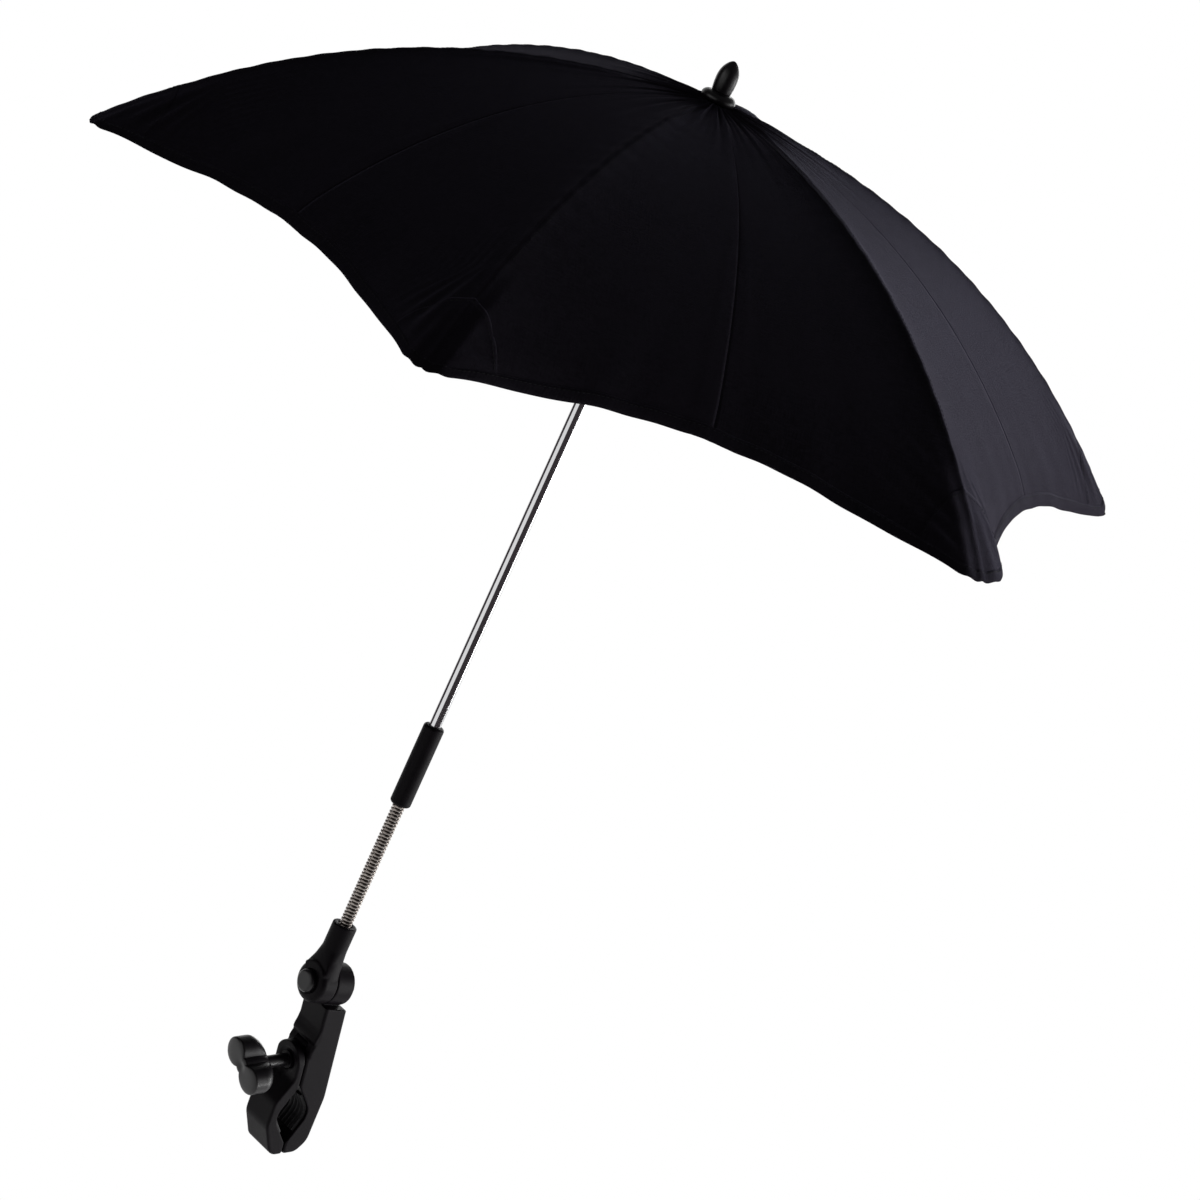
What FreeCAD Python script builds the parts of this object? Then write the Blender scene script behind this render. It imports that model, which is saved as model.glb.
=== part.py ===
# Pram parasol: a folding six-rib canopy on a chrome tube, a coil gooseneck that
# can be bent, and a tilting screw clamp that grips the tube of a pram.
# Millimetres, +Z up along the shaft. The origin is the middle of the clamp's mouth.
import FreeCAD, Part
import math
import os

Vector = FreeCAD.Vector
os.makedirs("parts", exist_ok=True)

# Shared fits
RUNNING = 0.1            # radial room of a pin, screw or slider that turns or runs
BODY_GAP = 0.3           # room between pieces that move past each other
SEAT_GAP = 0.05          # radial room of a piece pushed into its seat

# Heights along the shaft, from the tilt hinge up
SOCKET_TOP = 43.0        # tilt hinge to the top of the gooseneck socket
NECK_SHOWN = 89.0        # gooseneck between socket and sleeve
SLEEVE_LENGTH = 57.5
TUBE_SHOWN = 438.0       # chrome tube between the sleeve and the top of the cloth

# Shaft
TUBE_D = 8.0
TUBE_WALL = 0.7
SLEEVE_D = 14.0
SLEEVE_ROUND = 2.0
SLEEVE_WEB = 3.0         # floor in the sleeve that the tube stands on
CORE_PLUG = 16.0         # length of the core's plug inside the tube

# Canopy
RIBS = 6
TIP_RADIUS = 350.0       # shaft axis to the outer end of a rib
CLOTH_ARC = 485.0        # radius of the cloth's line over a rib
CLOTH = 0.6              # thickness of the cloth with its hems
CLOTH_BORE = 5.0         # radius of the hole for the shaft
HEM_TIP_SHOWN = 3.5      # rib tip that shows past the hem
HEM_CORNER = 22.0        # rounding of the hem at a rib tip
HEM_HOLLOW = 64.5        # how far the hem lies further in between two ribs, seen from above
GORE_SAG = 5.0           # dip of the cloth between two ribs at the hem
PANEL_ROWS = 9
PANEL_COLUMNS = 8

# Ribs and stretchers
RIB_WIDTH = 2.6
RIB_DEPTH = 3.0
RIB_WALL = 0.55          # sheet of the rib's channel
RIB_DROP = 0.75          # cloth to the top of a rib
RIB_ROOT = 14.0          # solid end of a rib outside its hinge
RIB_END = 8.0            # solid end of a rib inside its tip
RIB_EYE = 1.9            # radius of the eye at the hinge
TIP_CAP_D = 4.0
TIP_CAP_LENGTH = 16.0
TIP_CAP_OVER = 12.0      # length of the cap that the rib fills
STRETCHER_REACH = 176.0  # shaft axis to the rivet of a rib
STRETCHER_WIDTH = 2.6
STRETCHER_DEPTH = 2.4
STRETCHER_TAIL = 1.4     # stretcher past the runner's wire
FORK_CHEEK = 0.8
FORK_REACH = 11.0        # rivet to the floor of the fork
FORK_BLOCK = 4.0
FORK_EYE = 1.5           # fork round the rivet
FORK_ROUND = 1.35        # rounding of the fork, just less than its eye
RIVET_D = 1.6
RIVET_HEAD_D = 3.0
RIVET_HEAD = 0.5
RIVET_ROOM = 0.14        # cloth to the heads of a rivet
HINGE_RADIUS = 10.0      # shaft axis to the rings of wire in crown and runner
RING_WIRE_D = 1.2
EYE_ROOM = 0.15          # radial room of an eye on its bent wire

# Crown and runner
CROWN_RADIUS = 14.5
CROWN_BELOW = 7.0        # crown below the rib hinge
CROWN_CORE = 6.0         # radius of the crown inside its slots
RUNNER_FLANGE = 13.5
RUNNER_FLANGE_HALF = 4.0
RUNNER_RADIUS = 6.2
RUNNER_CORE = 7.2        # radius of the runner inside its slots
RUNNER_LENGTH = 40.0     # runner below its flange
SLOT_ROOM = 0.25         # room on each side of a rib or stretcher in its slot

# Catch in the tube under the runner
CATCH_WIDTH = 2.0
CATCH_HEIGHT = 20.0
CATCH_PROUD = 3.0
CATCH_SPRING = 6.0       # leaf below the wedge, inside the tube
CATCH_SHEET = 2.2

# Finial
COLLAR_D = 23.5
COLLAR_HEIGHT = 6.2
COLLAR_ROUND = 1.4
FINIAL_BASE_D = 12.5
FINIAL_D = 15.0
FINIAL_HEIGHT = 20.5
FINIAL_SWELL = 8.5       # collar to the widest place
FINIAL_SIDE = 18.0       # arc of the finial's side
FINIAL_BOW = 0.4         # how far the arc cuts inside its corner
FINIAL_NOSE = 5.2        # half width of the blunt tip
NOSE_ROUND = 4.7         # rounding of the tip, just less than its half width
FINIAL_STUD = 9.0        # shaft inside the finial

# Gooseneck
NECK_D = 8.6
NECK_WIRE = 1.5
NECK_TURN_GAP = 0.9
NECK_SEAT = 6.0          # gooseneck inside the socket and the sleeve
NECK_HINGES = 6
CORE_D = 3.2
CORE_SEAT = 8.0          # core below the gooseneck, inside the socket

# Tilt hinge
KNUCKLE_RADIUS = 14.0
SOCKET_D = 16.6
SOCKET_FRONT = 9.5       # shaft axis to the front of the socket's disc
SOCKET_BACK = 4.0        # shaft axis to the parting line
SOCKET_STRAIGHT = 22.0   # height of the lower end of the round neck
EAR_THICK = 14.4
BOLT_D = 6.0
BOLT_HEAD_D = 9.0
BOLT_HEAD = 2.0
BUTTON_D = 15.4
BUTTON_PROUD = 4.3
BUTTON_ROUND = 2.2
BUTTON_SKIRT = 2.4       # button inside the socket
BUTTON_WALL = 1.5
BUTTON_LIP = 0.4         # snap lip of the button
BUTTON_LIP_HEIGHT = 1.0
BUTTON_TRAVEL = 3.0
BUTTON_ROOM = 0.2
BUTTON_WIRE = 0.8
BUTTON_COILS = 4.0

# Clamp, square to its own axis before it leans
CLAMP_LEAN = 12.0        # degrees between clamp and hinge, away from the knob
JAW_WIDTH = 26.0
JAW_HEAD = 13.0          # tilt hinge to the top of the jaw's sides
JAW_FRONT = 1.0          # hinge middle to the front of the neck
JAW_BACK = 18.0          # hinge middle to the back of the neck
SCREW_DROP = 57.5        # tilt hinge to the clamp screw
MOUTH_DROP = 94.0        # tilt hinge to the middle of the mouth
MOUTH_X = -4.5           # hinge middle to the middle of the mouth
MOUTH_RADIUS = 12.0      # tube that the pads hold
MOUTH_HALF_ANGLE = 32.0  # degrees of the round part of a pad, each side
MOUTH_SPLIT = 0.3        # half the gap between the closed jaws
PAD_THICK = 2.5
PAD_WIDTH = 22.0
PAD_FLANK = 9.0          # straight end of a pad
JAW_TIP = 8.0            # jaw below the lower corner of the mouth
JAW_EDGE = 1.5
JAW_CORNER = 2.0         # rounding of the jaws where they meet
# Outlines of the jaws: distance from the mouth's middle plane, from the tilt hinge, rounding
HEEL = (18.5, 117.0, 13.0)
HEEL_BEND = (24.0, 84.0, 30.0)
TOE = (10.5, 8.0)        # no height: the toe is at the jaw's foot
BELLY = (18.8, 101.0, 14.0)
SHOULDER = (17.0, 83.0, 10.0)
INSTEP_ROUND = 8.0       # rounding between the round plate and the shoulder
PLATE_THICK = 5.4
PIVOT_RISE = 11.0        # clamp screw to the pin of the movable jaw
PIVOT_X = 0.4
PIVOT_PIN_D = 3.0
PIVOT_KNUCKLE = 3.4
PIVOT_WIDTH = 12.0
WEB_RISE = 1.0           # top of the movable jaw's web above the pin
LUG_SLOPE = 9.0          # pin to the top of the slope above the lugs
SCREW_D = 6.0
SCREW_SLOT_UP = 0.5      # slot in the movable jaw above the screw
SCREW_SLOT_DOWN = 3.8    # slot in the movable jaw below the screw
SCREW_HOLE_ROOM = 0.4
SCREW_TAIL = 17.0        # hinge middle to the end of the screw
NUT_FLATS = 10.0
NUT_THICK = 5.0
NUT_SEAT = 6.0           # hinge middle to the floor of the nut's pocket
DISH_RADIUS = 9.0
DISH_DEPTH = 2.2
WASHER_RADIUS = 6.0
WASHER_THICK = 1.5
STALK_RADIUS = 4.2
STALK_LENGTH = 16.5
KNOB_DEPTH = 20.0
KNOB_LOBE = 8.7
KNOB_REACH = 11.8        # screw axis to the middle of a lobe
KNOB_WAIST = 7.0
KNOB_ROUND = 3.0
KNOB_TURN = 45.0         # degrees that the knob is turned from upright
KNOB_SOCKET = 12.0       # screw inside the knob

# Places that follow from the sizes
SLEEVE_BOTTOM = SOCKET_TOP + NECK_SHOWN
SLEEVE_TOP = SLEEVE_BOTTOM + SLEEVE_LENGTH
CROWN_Z = SLEEVE_TOP + TUBE_SHOWN
ARC_CENTRE_Z = CROWN_Z - CLOTH_ARC
GORE_HALF = math.pi / RIBS
# The heads of a rivet stand under the cloth's falling sides, so they may need the rib lower than its top does.
HEAD_REACH = RIB_WIDTH / 2 + 2 * SLOT_ROOM + FORK_CHEEK + RIVET_HEAD
RIVET_SLOPE = math.asin(STRETCHER_REACH / CLOTH_ARC)
HEAD_FALL = HEAD_REACH * math.tan(GORE_HALF) * math.tan(RIVET_SLOPE)
RIB_SINK = max(
    CLOTH + RIB_DROP + RIB_DEPTH / 2,
    (CLOTH + HEAD_FALL) * math.cos(RIVET_SLOPE) + RIVET_ROOM + RIVET_HEAD_D / 2)
RIB_LINE = CLOTH_ARC - RIB_SINK
TUBE_R = TUBE_D / 2
TUBE_BORE = TUBE_R - TUBE_WALL
TUBE_SEAT = TUBE_R + SEAT_GAP
TUBE_FOOT = SLEEVE_BOTTOM + NECK_SEAT + SLEEVE_WEB
CORE_R = CORE_D / 2
NECK_MEAN = (NECK_D - NECK_WIRE) / 2
NECK_PITCH = NECK_WIRE + NECK_TURN_GAP
EAR_FRONT = SOCKET_BACK + BODY_GAP
EAR_BACK = EAR_FRONT + EAR_THICK
LEAN = math.radians(CLAMP_LEAN)
MOUTH_CENTRE = Vector(
    MOUTH_X * math.cos(LEAN) + MOUTH_DROP * math.sin(LEAN), 0,
    MOUTH_X * math.sin(LEAN) - MOUTH_DROP * math.cos(LEAN))
X_AXIS = Vector(1, 0, 0)
Y_AXIS = Vector(0, 1, 0)
Z_AXIS = Vector(0, 0, 1)


def on_rib(radius):
    """Point of the rib's middle line at a distance from the shaft axis."""
    return Vector(radius, 0, ARC_CENTRE_Z + math.sqrt(RIB_LINE**2 - radius**2))


RIB_HINGE = on_rib(HINGE_RADIUS)
RIVET = on_rib(STRETCHER_REACH)
# The stretcher is as long as the rib from hinge to rivet, so the two form an isosceles pair.
RUNNER_HINGE = Vector(HINGE_RADIUS, 0, 2 * RIVET.z - RIB_HINGE.z)
RUNNER_FOOT = RUNNER_HINGE.z - RUNNER_FLANGE_HALF - RUNNER_LENGTH
CATCH_TOP = RUNNER_FOOT - BODY_GAP


def save(name, shape):
    """Write a piece of the shaft, canopy or socket in the part's own frame."""
    placed = shape.copy()
    placed.translate(MOUTH_CENTRE * -1)
    placed.exportStep("parts/" + name + ".step")


def leaned(shape):
    """Copy of a piece of the clamp, turned by the angle that the clamp leans at."""
    turned = shape.copy()
    turned.rotate(Vector(0, 0, 0), Y_AXIS, -CLAMP_LEAN)
    return turned


def save_on_clamp(name, shape):
    """Write a piece of the clamp, which leans below the tilt hinge."""
    save(name, leaned(shape))


def rod(radius, start, end):
    """Round bar between two points."""
    along = end - start
    return Part.makeCylinder(radius, along.Length, start, along)


def block(low, high):
    """Box between two corners."""
    size = high - low
    return Part.makeBox(size.x, size.y, size.z, low)


def rounded_face(corners, place):
    """Face with corners (u, v, radius) joined by lines and tangent arcs, set in space by place."""
    count = len(corners)
    joins = []
    for i, (u, v, radius) in enumerate(corners):
        here = Vector(u, v, 0)
        before = corners[i - 1]
        after = corners[(i + 1) % count]
        to_last = (Vector(before[0], before[1], 0) - here).normalize()
        to_next = (Vector(after[0], after[1], 0) - here).normalize()
        half = to_last.getAngle(to_next) / 2
        back = radius / math.tan(half)
        inward = (to_last + to_next).normalize()
        middle = here + inward * (radius / math.sin(half) - radius)
        joins.append((here + to_last * back, middle, here + to_next * back))
    edges = []
    for i, (start, middle, end) in enumerate(joins):
        if corners[i][2] > 0:
            edges.append(Part.Arc(place(start), place(middle), place(end)).toShape())
        following = joins[(i + 1) % count][0]
        edges.append(Part.LineSegment(place(end), place(following)).toShape())
    return Part.Face(Part.Wire(edges))


def side_prism(corners, width):
    """Prism of an (x, z, radius) outline, centred on the plane of the screw and shaft."""
    face = rounded_face(corners, lambda p: Vector(p.x, -width / 2, p.y))
    return face.extrude(Y_AXIS * width)


def lathe(corners):
    """Solid turned about the shaft from an (r, z, radius) outline."""
    face = rounded_face(corners, lambda p: Vector(p.x, 0, p.y))
    return face.revolve(Vector(0, 0, 0), Z_AXIS, 360)


def around(shape, index):
    """Copy of a piece of rib 1, turned to another rib."""
    turned = shape.copy()
    turned.rotate(Vector(0, 0, 0), Z_AXIS, rib_angle(index))
    return turned


def rib_angle(index):
    """Degrees from +X to a rib; ribs stand half a gore from the clamp screw's direction."""
    return (index + 0.5) * 360 / RIBS


# Coils
def half_turn_biarc(start, start_way, end, end_way):
    """Two tangent arcs with equal arms between two points and their directions."""
    across = end - start
    ways = start_way + end_way
    a = ways.dot(ways) - 4
    b = across.dot(ways)
    arm = (b - math.sqrt(b * b - a * across.dot(across))) / a
    first = start + start_way * arm
    second = end - end_way * arm
    joint = (first + second) * 0.5
    return [arc_with_corner(start, first, joint), arc_with_corner(joint, second, end)]


def arc_with_corner(start, corner, end):
    """Arc from start to end whose end tangents meet at corner."""
    chord_middle = (start + end) * 0.5
    rise = corner - chord_middle
    half_chord = (end - start).Length / 2
    arm = (corner - start).Length
    radius = half_chord * arm / rise.Length
    sagitta = radius * (1 - half_chord / arm)
    middle = chord_middle + rise * (sagitta / rise.Length)
    return Part.Arc(start, middle, end).toShape()


def coil(name, wire, mean_radius, height, turns):
    """Unbroken coil about Z from height 0, with straight wire ends one wire diameter long."""
    climb = height / (2 * math.pi * turns)

    def point(angle):
        return Vector(mean_radius * math.cos(angle), mean_radius * math.sin(angle), climb * angle)

    def way(angle):
        flat = Vector(-mean_radius * math.sin(angle), mean_radius * math.cos(angle), climb)
        return flat.normalize()

    halves = math.ceil(2 * turns)
    step = 2 * math.pi * turns / halves
    edges = [Part.LineSegment(point(0) - way(0) * wire, point(0)).toShape()]
    for i in range(halves):
        low = i * step
        high = low + step
        edges += half_turn_biarc(point(low), way(low), point(high), way(high))
    last = halves * step
    edges.append(Part.LineSegment(point(last), point(last) + way(last) * wire).toShape())
    path = Part.Wire(edges)
    section = Part.Wire(Part.makeCircle(wire / 2, point(0) - way(0) * wire, way(0)))
    tube = path.makePipeShell([section], True, False)
    expected = math.pi * wire**2 / 4 * path.Length
    print(name, "volume over section times length", round(tube.Volume / expected, 4))
    print(name, "least gap to itself", round(least_self_gap(path, wire, step * mean_radius), 3))
    return tube


def least_self_gap(path, wire, half_turn_length):
    """Least distance between points of a coil more than half a turn apart, less the wire."""
    spacing = wire / 4
    points = path.discretize(Distance=spacing)
    skip = int(half_turn_length / spacing)
    reach = skip * 5
    least = math.inf
    for i, here in enumerate(points):
        for there in points[i + skip:i + reach]:
            least = min(least, here.distanceToPoint(there))
    return least - wire


# Gooseneck: the coil, and the core that it is wound over
neck_low = SOCKET_TOP - NECK_SEAT + NECK_WIRE
neck_high = SLEEVE_BOTTOM + NECK_SEAT - NECK_WIRE
neck_height = neck_high - neck_low
neck_coil = coil("gooseneck_spring", NECK_WIRE, NECK_MEAN, neck_height, neck_height / NECK_PITCH)
neck_coil.translate(Vector(0, 0, neck_low))
save("gooseneck_spring", neck_coil)
# The bores of socket and sleeve clear the straight ends of the wire.
spring_bore = math.hypot(NECK_MEAN, NECK_WIRE) + NECK_WIRE / 2 + RUNNING

link = NECK_SHOWN / NECK_HINGES
neck_hinge_heights = [SOCKET_TOP + (i + 0.5) * link for i in range(NECK_HINGES)]
core_foot = SOCKET_TOP - NECK_SEAT - CORE_SEAT
core_ends = [core_foot] + neck_hinge_heights + [TUBE_FOOT + CORE_PLUG]


def core_piece(low, high, round_low, round_high):
    """Piece of the core, with ball ends where it meets the next piece."""
    bottom = low
    top = high
    pieces = []
    if round_low:
        bottom = low + BODY_GAP / 2 + CORE_R
        pieces.append(Part.makeSphere(CORE_R, Vector(0, 0, bottom)))
    if round_high:
        top = high - BODY_GAP / 2 - CORE_R
        pieces.append(Part.makeSphere(CORE_R, Vector(0, 0, top)))
    bar = rod(CORE_R, Vector(0, 0, bottom), Vector(0, 0, top))
    return bar.multiFuse(pieces).removeSplitter()


for i in range(NECK_HINGES + 1):
    first = i == 0
    last = i == NECK_HINGES
    core = core_piece(core_ends[i], core_ends[i + 1], not first, not last)
    if last:
        plug = rod(TUBE_BORE - SEAT_GAP, Vector(0, 0, TUBE_FOOT), Vector(0, 0, core_ends[-1]))
        core = core.fuse(plug).removeSplitter()
    save("neck_core_" + str(i + 1), core)


# Shaft: chrome tube, sleeve over the gooseneck's upper end
tube_top = CROWN_Z + BODY_GAP + COLLAR_HEIGHT + FINIAL_STUD
tube = rod(TUBE_R, Vector(0, 0, TUBE_FOOT), Vector(0, 0, tube_top))
tube = tube.cut(rod(TUBE_BORE, Vector(0, 0, TUBE_FOOT), Vector(0, 0, tube_top)))
catch_window = block(
    Vector(0, -CATCH_WIDTH / 2 - RUNNING, CATCH_TOP - CATCH_HEIGHT - BODY_GAP),
    Vector(TUBE_D, CATCH_WIDTH / 2 + RUNNING, CATCH_TOP + BODY_GAP))
save("shaft_tube", tube.cut(catch_window))

sleeve = lathe([
    (0, SLEEVE_BOTTOM, 0),
    (SLEEVE_D / 2, SLEEVE_BOTTOM, SLEEVE_ROUND),
    (SLEEVE_D / 2, SLEEVE_TOP, SLEEVE_ROUND),
    (0, SLEEVE_TOP, 0)])
sleeve = sleeve.cut(rod(TUBE_SEAT, Vector(0, 0, TUBE_FOOT), Vector(0, 0, SLEEVE_TOP)))
sleeve = sleeve.cut(rod(CORE_R + SEAT_GAP, Vector(0, 0, SLEEVE_BOTTOM), Vector(0, 0, TUBE_FOOT)))
sleeve = sleeve.cut(rod(spring_bore, Vector(0, 0, SLEEVE_BOTTOM), Vector(0, 0, SLEEVE_BOTTOM + NECK_SEAT)))
save("sleeve", sleeve)


# Crown: the slotted hub of the ribs, its ring of wire, collar and finial
def slotted(hub, core_radius, slot_width, low, high, outer):
    """Hub with a slot for each rib, cut from the rim down to its core."""
    slot = block(Vector(core_radius, -slot_width / 2, low), Vector(outer, slot_width / 2, high))
    return hub.cut(Part.makeCompound([around(slot, i) for i in range(RIBS)]))


def wire_groove(height, outer):
    """Ring cut from the rim of a hub down to the seat of its wire."""
    half = RING_WIRE_D / 2 + SEAT_GAP
    inner = HINGE_RADIUS - half
    ring = Part.makeCylinder(outer, 2 * half, Vector(0, 0, height - half))
    return ring.cut(Part.makeCylinder(inner, 2 * half, Vector(0, 0, height - half)))


crown_top = CROWN_Z - CLOTH - BODY_GAP
crown_foot = RIB_HINGE.z - CROWN_BELOW
crown = rod(CROWN_RADIUS, Vector(0, 0, crown_foot), Vector(0, 0, crown_top))
crown = crown.cut(rod(TUBE_SEAT, Vector(0, 0, crown_foot), Vector(0, 0, crown_top)))
crown = slotted(crown, CROWN_CORE, RIB_WIDTH + 2 * SLOT_ROOM, crown_foot, crown_top, 2 * CROWN_RADIUS)
save("crown", crown.cut(wire_groove(RIB_HINGE.z, 2 * CROWN_RADIUS)))
save("crown_wire", Part.makeTorus(HINGE_RADIUS, RING_WIRE_D / 2, Vector(0, 0, RIB_HINGE.z)))

collar_foot = CROWN_Z + BODY_GAP
collar_top = collar_foot + COLLAR_HEIGHT
collar = lathe([
    (TUBE_SEAT, collar_foot, 0),
    (COLLAR_D / 2, collar_foot, 0),
    (COLLAR_D / 2, collar_top, COLLAR_ROUND),
    (TUBE_SEAT, collar_top, 0)])
save("crown_cap", collar)

finial_top = collar_top + FINIAL_HEIGHT
finial = lathe([
    (0, collar_top, 0),
    (FINIAL_BASE_D / 2, collar_top, 0),
    (FINIAL_D / 2 + FINIAL_BOW, collar_top + FINIAL_SWELL, FINIAL_SIDE),
    (FINIAL_NOSE, finial_top, NOSE_ROUND),
    (0, finial_top, 0)])
save("finial", finial.cut(rod(TUBE_SEAT, Vector(0, 0, collar_top), Vector(0, 0, tube_top))))


# Runner: the sliding hub of the stretchers, with its ring of wire
flange_low = RUNNER_HINGE.z - RUNNER_FLANGE_HALF
flange_high = RUNNER_HINGE.z + RUNNER_FLANGE_HALF
runner = rod(RUNNER_FLANGE, Vector(0, 0, flange_low), Vector(0, 0, flange_high))
runner = slotted(
    runner, RUNNER_CORE, STRETCHER_WIDTH + 2 * SLOT_ROOM, flange_low, flange_high, 2 * RUNNER_FLANGE)
runner = runner.cut(wire_groove(RUNNER_HINGE.z, 2 * RUNNER_FLANGE))
runner = runner.fuse(rod(RUNNER_RADIUS, Vector(0, 0, RUNNER_FOOT), Vector(0, 0, flange_high)))
runner = runner.cut(rod(TUBE_R + RUNNING, Vector(0, 0, RUNNER_FOOT), Vector(0, 0, flange_high)))
save("runner", runner.removeSplitter())
save("runner_wire", Part.makeTorus(HINGE_RADIUS, RING_WIRE_D / 2, Vector(0, 0, RUNNER_HINGE.z)))

# Catch: a sheet spring in the tube whose wedge holds the runner up
catch_in = TUBE_BORE - BODY_GAP
catch_foot = CATCH_TOP - CATCH_HEIGHT
catch = side_prism([
    (catch_in - CATCH_SHEET, catch_foot - CATCH_SPRING, 0),
    (catch_in, catch_foot - CATCH_SPRING, 0),
    (catch_in, catch_foot, 0),
    (TUBE_R + CATCH_PROUD, CATCH_TOP - CATCH_SHEET, 0),
    (TUBE_R + CATCH_PROUD, CATCH_TOP, 0),
    (catch_in - CATCH_SHEET, CATCH_TOP, 0)], CATCH_WIDTH)
save("catch_leaf", catch)


# Ribs: channels bent to the arc of the cloth, each with an eye, a tip and a rivet
def arc_band(inner, outer, start_radius, end_radius, width):
    """Bent bar between two arcs about the canopy's centre, from one distance to another."""
    angles = [math.asin(distance / RIB_LINE) for distance in (start_radius, end_radius)]
    angles.insert(1, sum(angles) / 2)

    def at(radius, angle):
        return Vector(radius * math.sin(angle), -width / 2, ARC_CENTRE_Z + radius * math.cos(angle))

    top = [at(outer, angle) for angle in angles]
    bottom = [at(inner, angle) for angle in reversed(angles)]
    edges = [
        Part.Arc(*top).toShape(),
        Part.LineSegment(top[-1], bottom[0]).toShape(),
        Part.Arc(*bottom).toShape(),
        Part.LineSegment(bottom[-1], top[0]).toShape()]
    return Part.Face(Part.Wire(edges)).extrude(Y_AXIS * width)


def cross_pin(radius, centre, width):
    """Round pin across the rib's plane, centred on it."""
    half = Y_AXIS * (width / 2)
    return rod(radius, centre - half, centre + half)


rib_inner = RIB_LINE - RIB_DEPTH / 2
rib_outer = RIB_LINE + RIB_DEPTH / 2
rib_end_radius = TIP_RADIUS - (TIP_CAP_LENGTH - TIP_CAP_OVER)
rib = arc_band(rib_inner, rib_outer, HINGE_RADIUS, rib_end_radius, RIB_WIDTH)
channel = arc_band(
    rib_inner - RIB_DEPTH, rib_outer - RIB_WALL,
    HINGE_RADIUS + RIB_ROOT, rib_end_radius - RIB_END - TIP_CAP_OVER, RIB_WIDTH - 2 * RIB_WALL)
rib = rib.cut(channel)
rib = rib.fuse(cross_pin(RIB_EYE, RIB_HINGE, RIB_WIDTH)).removeSplitter()
rib = rib.cut(cross_pin(RING_WIRE_D / 2 + EYE_ROOM, RIB_HINGE, 2 * RIB_WIDTH))
rib = rib.cut(cross_pin(RIVET_D / 2, RIVET, 2 * RIB_WIDTH))

tip_slope = math.asin(rib_end_radius / RIB_LINE)
tip_way = Vector(math.cos(tip_slope), 0, -math.sin(tip_slope))
rib_end = on_rib(rib_end_radius)
cap = rod(TIP_CAP_D / 2, rib_end - tip_way * TIP_CAP_OVER,
          rib_end + tip_way * (TIP_CAP_LENGTH - TIP_CAP_OVER))
cap = cap.cut(rib)

fork_inner = RIB_WIDTH + 2 * SLOT_ROOM
fork_outer = fork_inner + 2 * FORK_CHEEK
rivet_length = fork_outer + 2 * SLOT_ROOM
rivet = cross_pin(RIVET_D / 2, RIVET, rivet_length)
for side in (-1, 1):
    inner_face = RIVET + Y_AXIS * (side * rivet_length / 2)
    rivet = rivet.fuse(rod(RIVET_HEAD_D / 2, inner_face, inner_face + Y_AXIS * (side * RIVET_HEAD)))
rivet = rivet.removeSplitter()

# Stretchers: bars that lie under the runner's wire and fork round a rib
stretcher_length = (RIVET - RUNNER_HINGE).Length
stretcher_slope = math.degrees(math.atan2(RIVET.z - RUNNER_HINGE.z, RIVET.x - RUNNER_HINGE.x))
wire_clear = RING_WIRE_D / 2 + EYE_ROOM
bar_end = stretcher_length - FORK_REACH
bar = side_prism([
    (-STRETCHER_TAIL, -wire_clear - STRETCHER_DEPTH, 0),
    (bar_end, -STRETCHER_DEPTH / 2, 0),
    (bar_end, STRETCHER_DEPTH / 2, 0),
    (-STRETCHER_TAIL, -wire_clear, 0)], STRETCHER_WIDTH)
fork_corners = [
    (bar_end - FORK_BLOCK, -STRETCHER_DEPTH / 2, 0),
    (stretcher_length + FORK_EYE, -STRETCHER_DEPTH / 2, STRETCHER_DEPTH / 2),
    (stretcher_length + FORK_EYE, FORK_EYE, FORK_ROUND),
    (bar_end - FORK_BLOCK, STRETCHER_DEPTH / 2, 0)]
fork = side_prism(fork_corners, fork_outer)
fork = fork.cut(block(
    Vector(bar_end, -fork_inner / 2, -stretcher_length),
    Vector(2 * stretcher_length, fork_inner / 2, stretcher_length)))
stretcher = bar.fuse(fork).removeSplitter()
rivet_eye = Vector(stretcher_length, 0, 0)
stretcher = stretcher.cut(cross_pin(RIVET_D / 2 + RUNNING, rivet_eye, 2 * fork_outer))
stretcher.rotate(Vector(0, 0, 0), Y_AXIS, -stretcher_slope)
stretcher.translate(RUNNER_HINGE)


# Canopy: the cloth stretched over the ribs, one panel about each rib
hem_tip = TIP_RADIUS - HEM_TIP_SHOWN
hem_middle = hem_tip - HEM_HOLLOW
corner_centre = hem_tip - HEM_CORNER
corner_cos = corner_centre * math.cos(GORE_HALF)
scallop_radius = (
    (HEM_CORNER**2 - corner_centre**2 - hem_middle**2 + 2 * corner_cos * hem_middle)
    / (2 * (hem_middle - corner_cos - HEM_CORNER)))
scallop_centre = hem_middle + scallop_radius
touch_x = corner_centre + HEM_CORNER * (
    (scallop_centre * math.cos(GORE_HALF) - corner_centre) / (scallop_radius + HEM_CORNER))
touch_y = HEM_CORNER * scallop_centre * math.sin(GORE_HALF) / (scallop_radius + HEM_CORNER)
touch_angle = math.atan2(touch_y, touch_x)


def hem_distance(angle):
    """Plan distance of the hem from the shaft axis: round at a rib, hollow between ribs."""
    if angle < touch_angle:
        sideways = corner_centre * math.sin(angle)
        return corner_centre * math.cos(angle) + math.sqrt(HEM_CORNER**2 - sideways**2)
    off_middle = GORE_HALF - angle
    sideways = scallop_centre * math.sin(off_middle)
    return scallop_centre * math.cos(off_middle) - math.sqrt(scallop_radius**2 - sideways**2)


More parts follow.
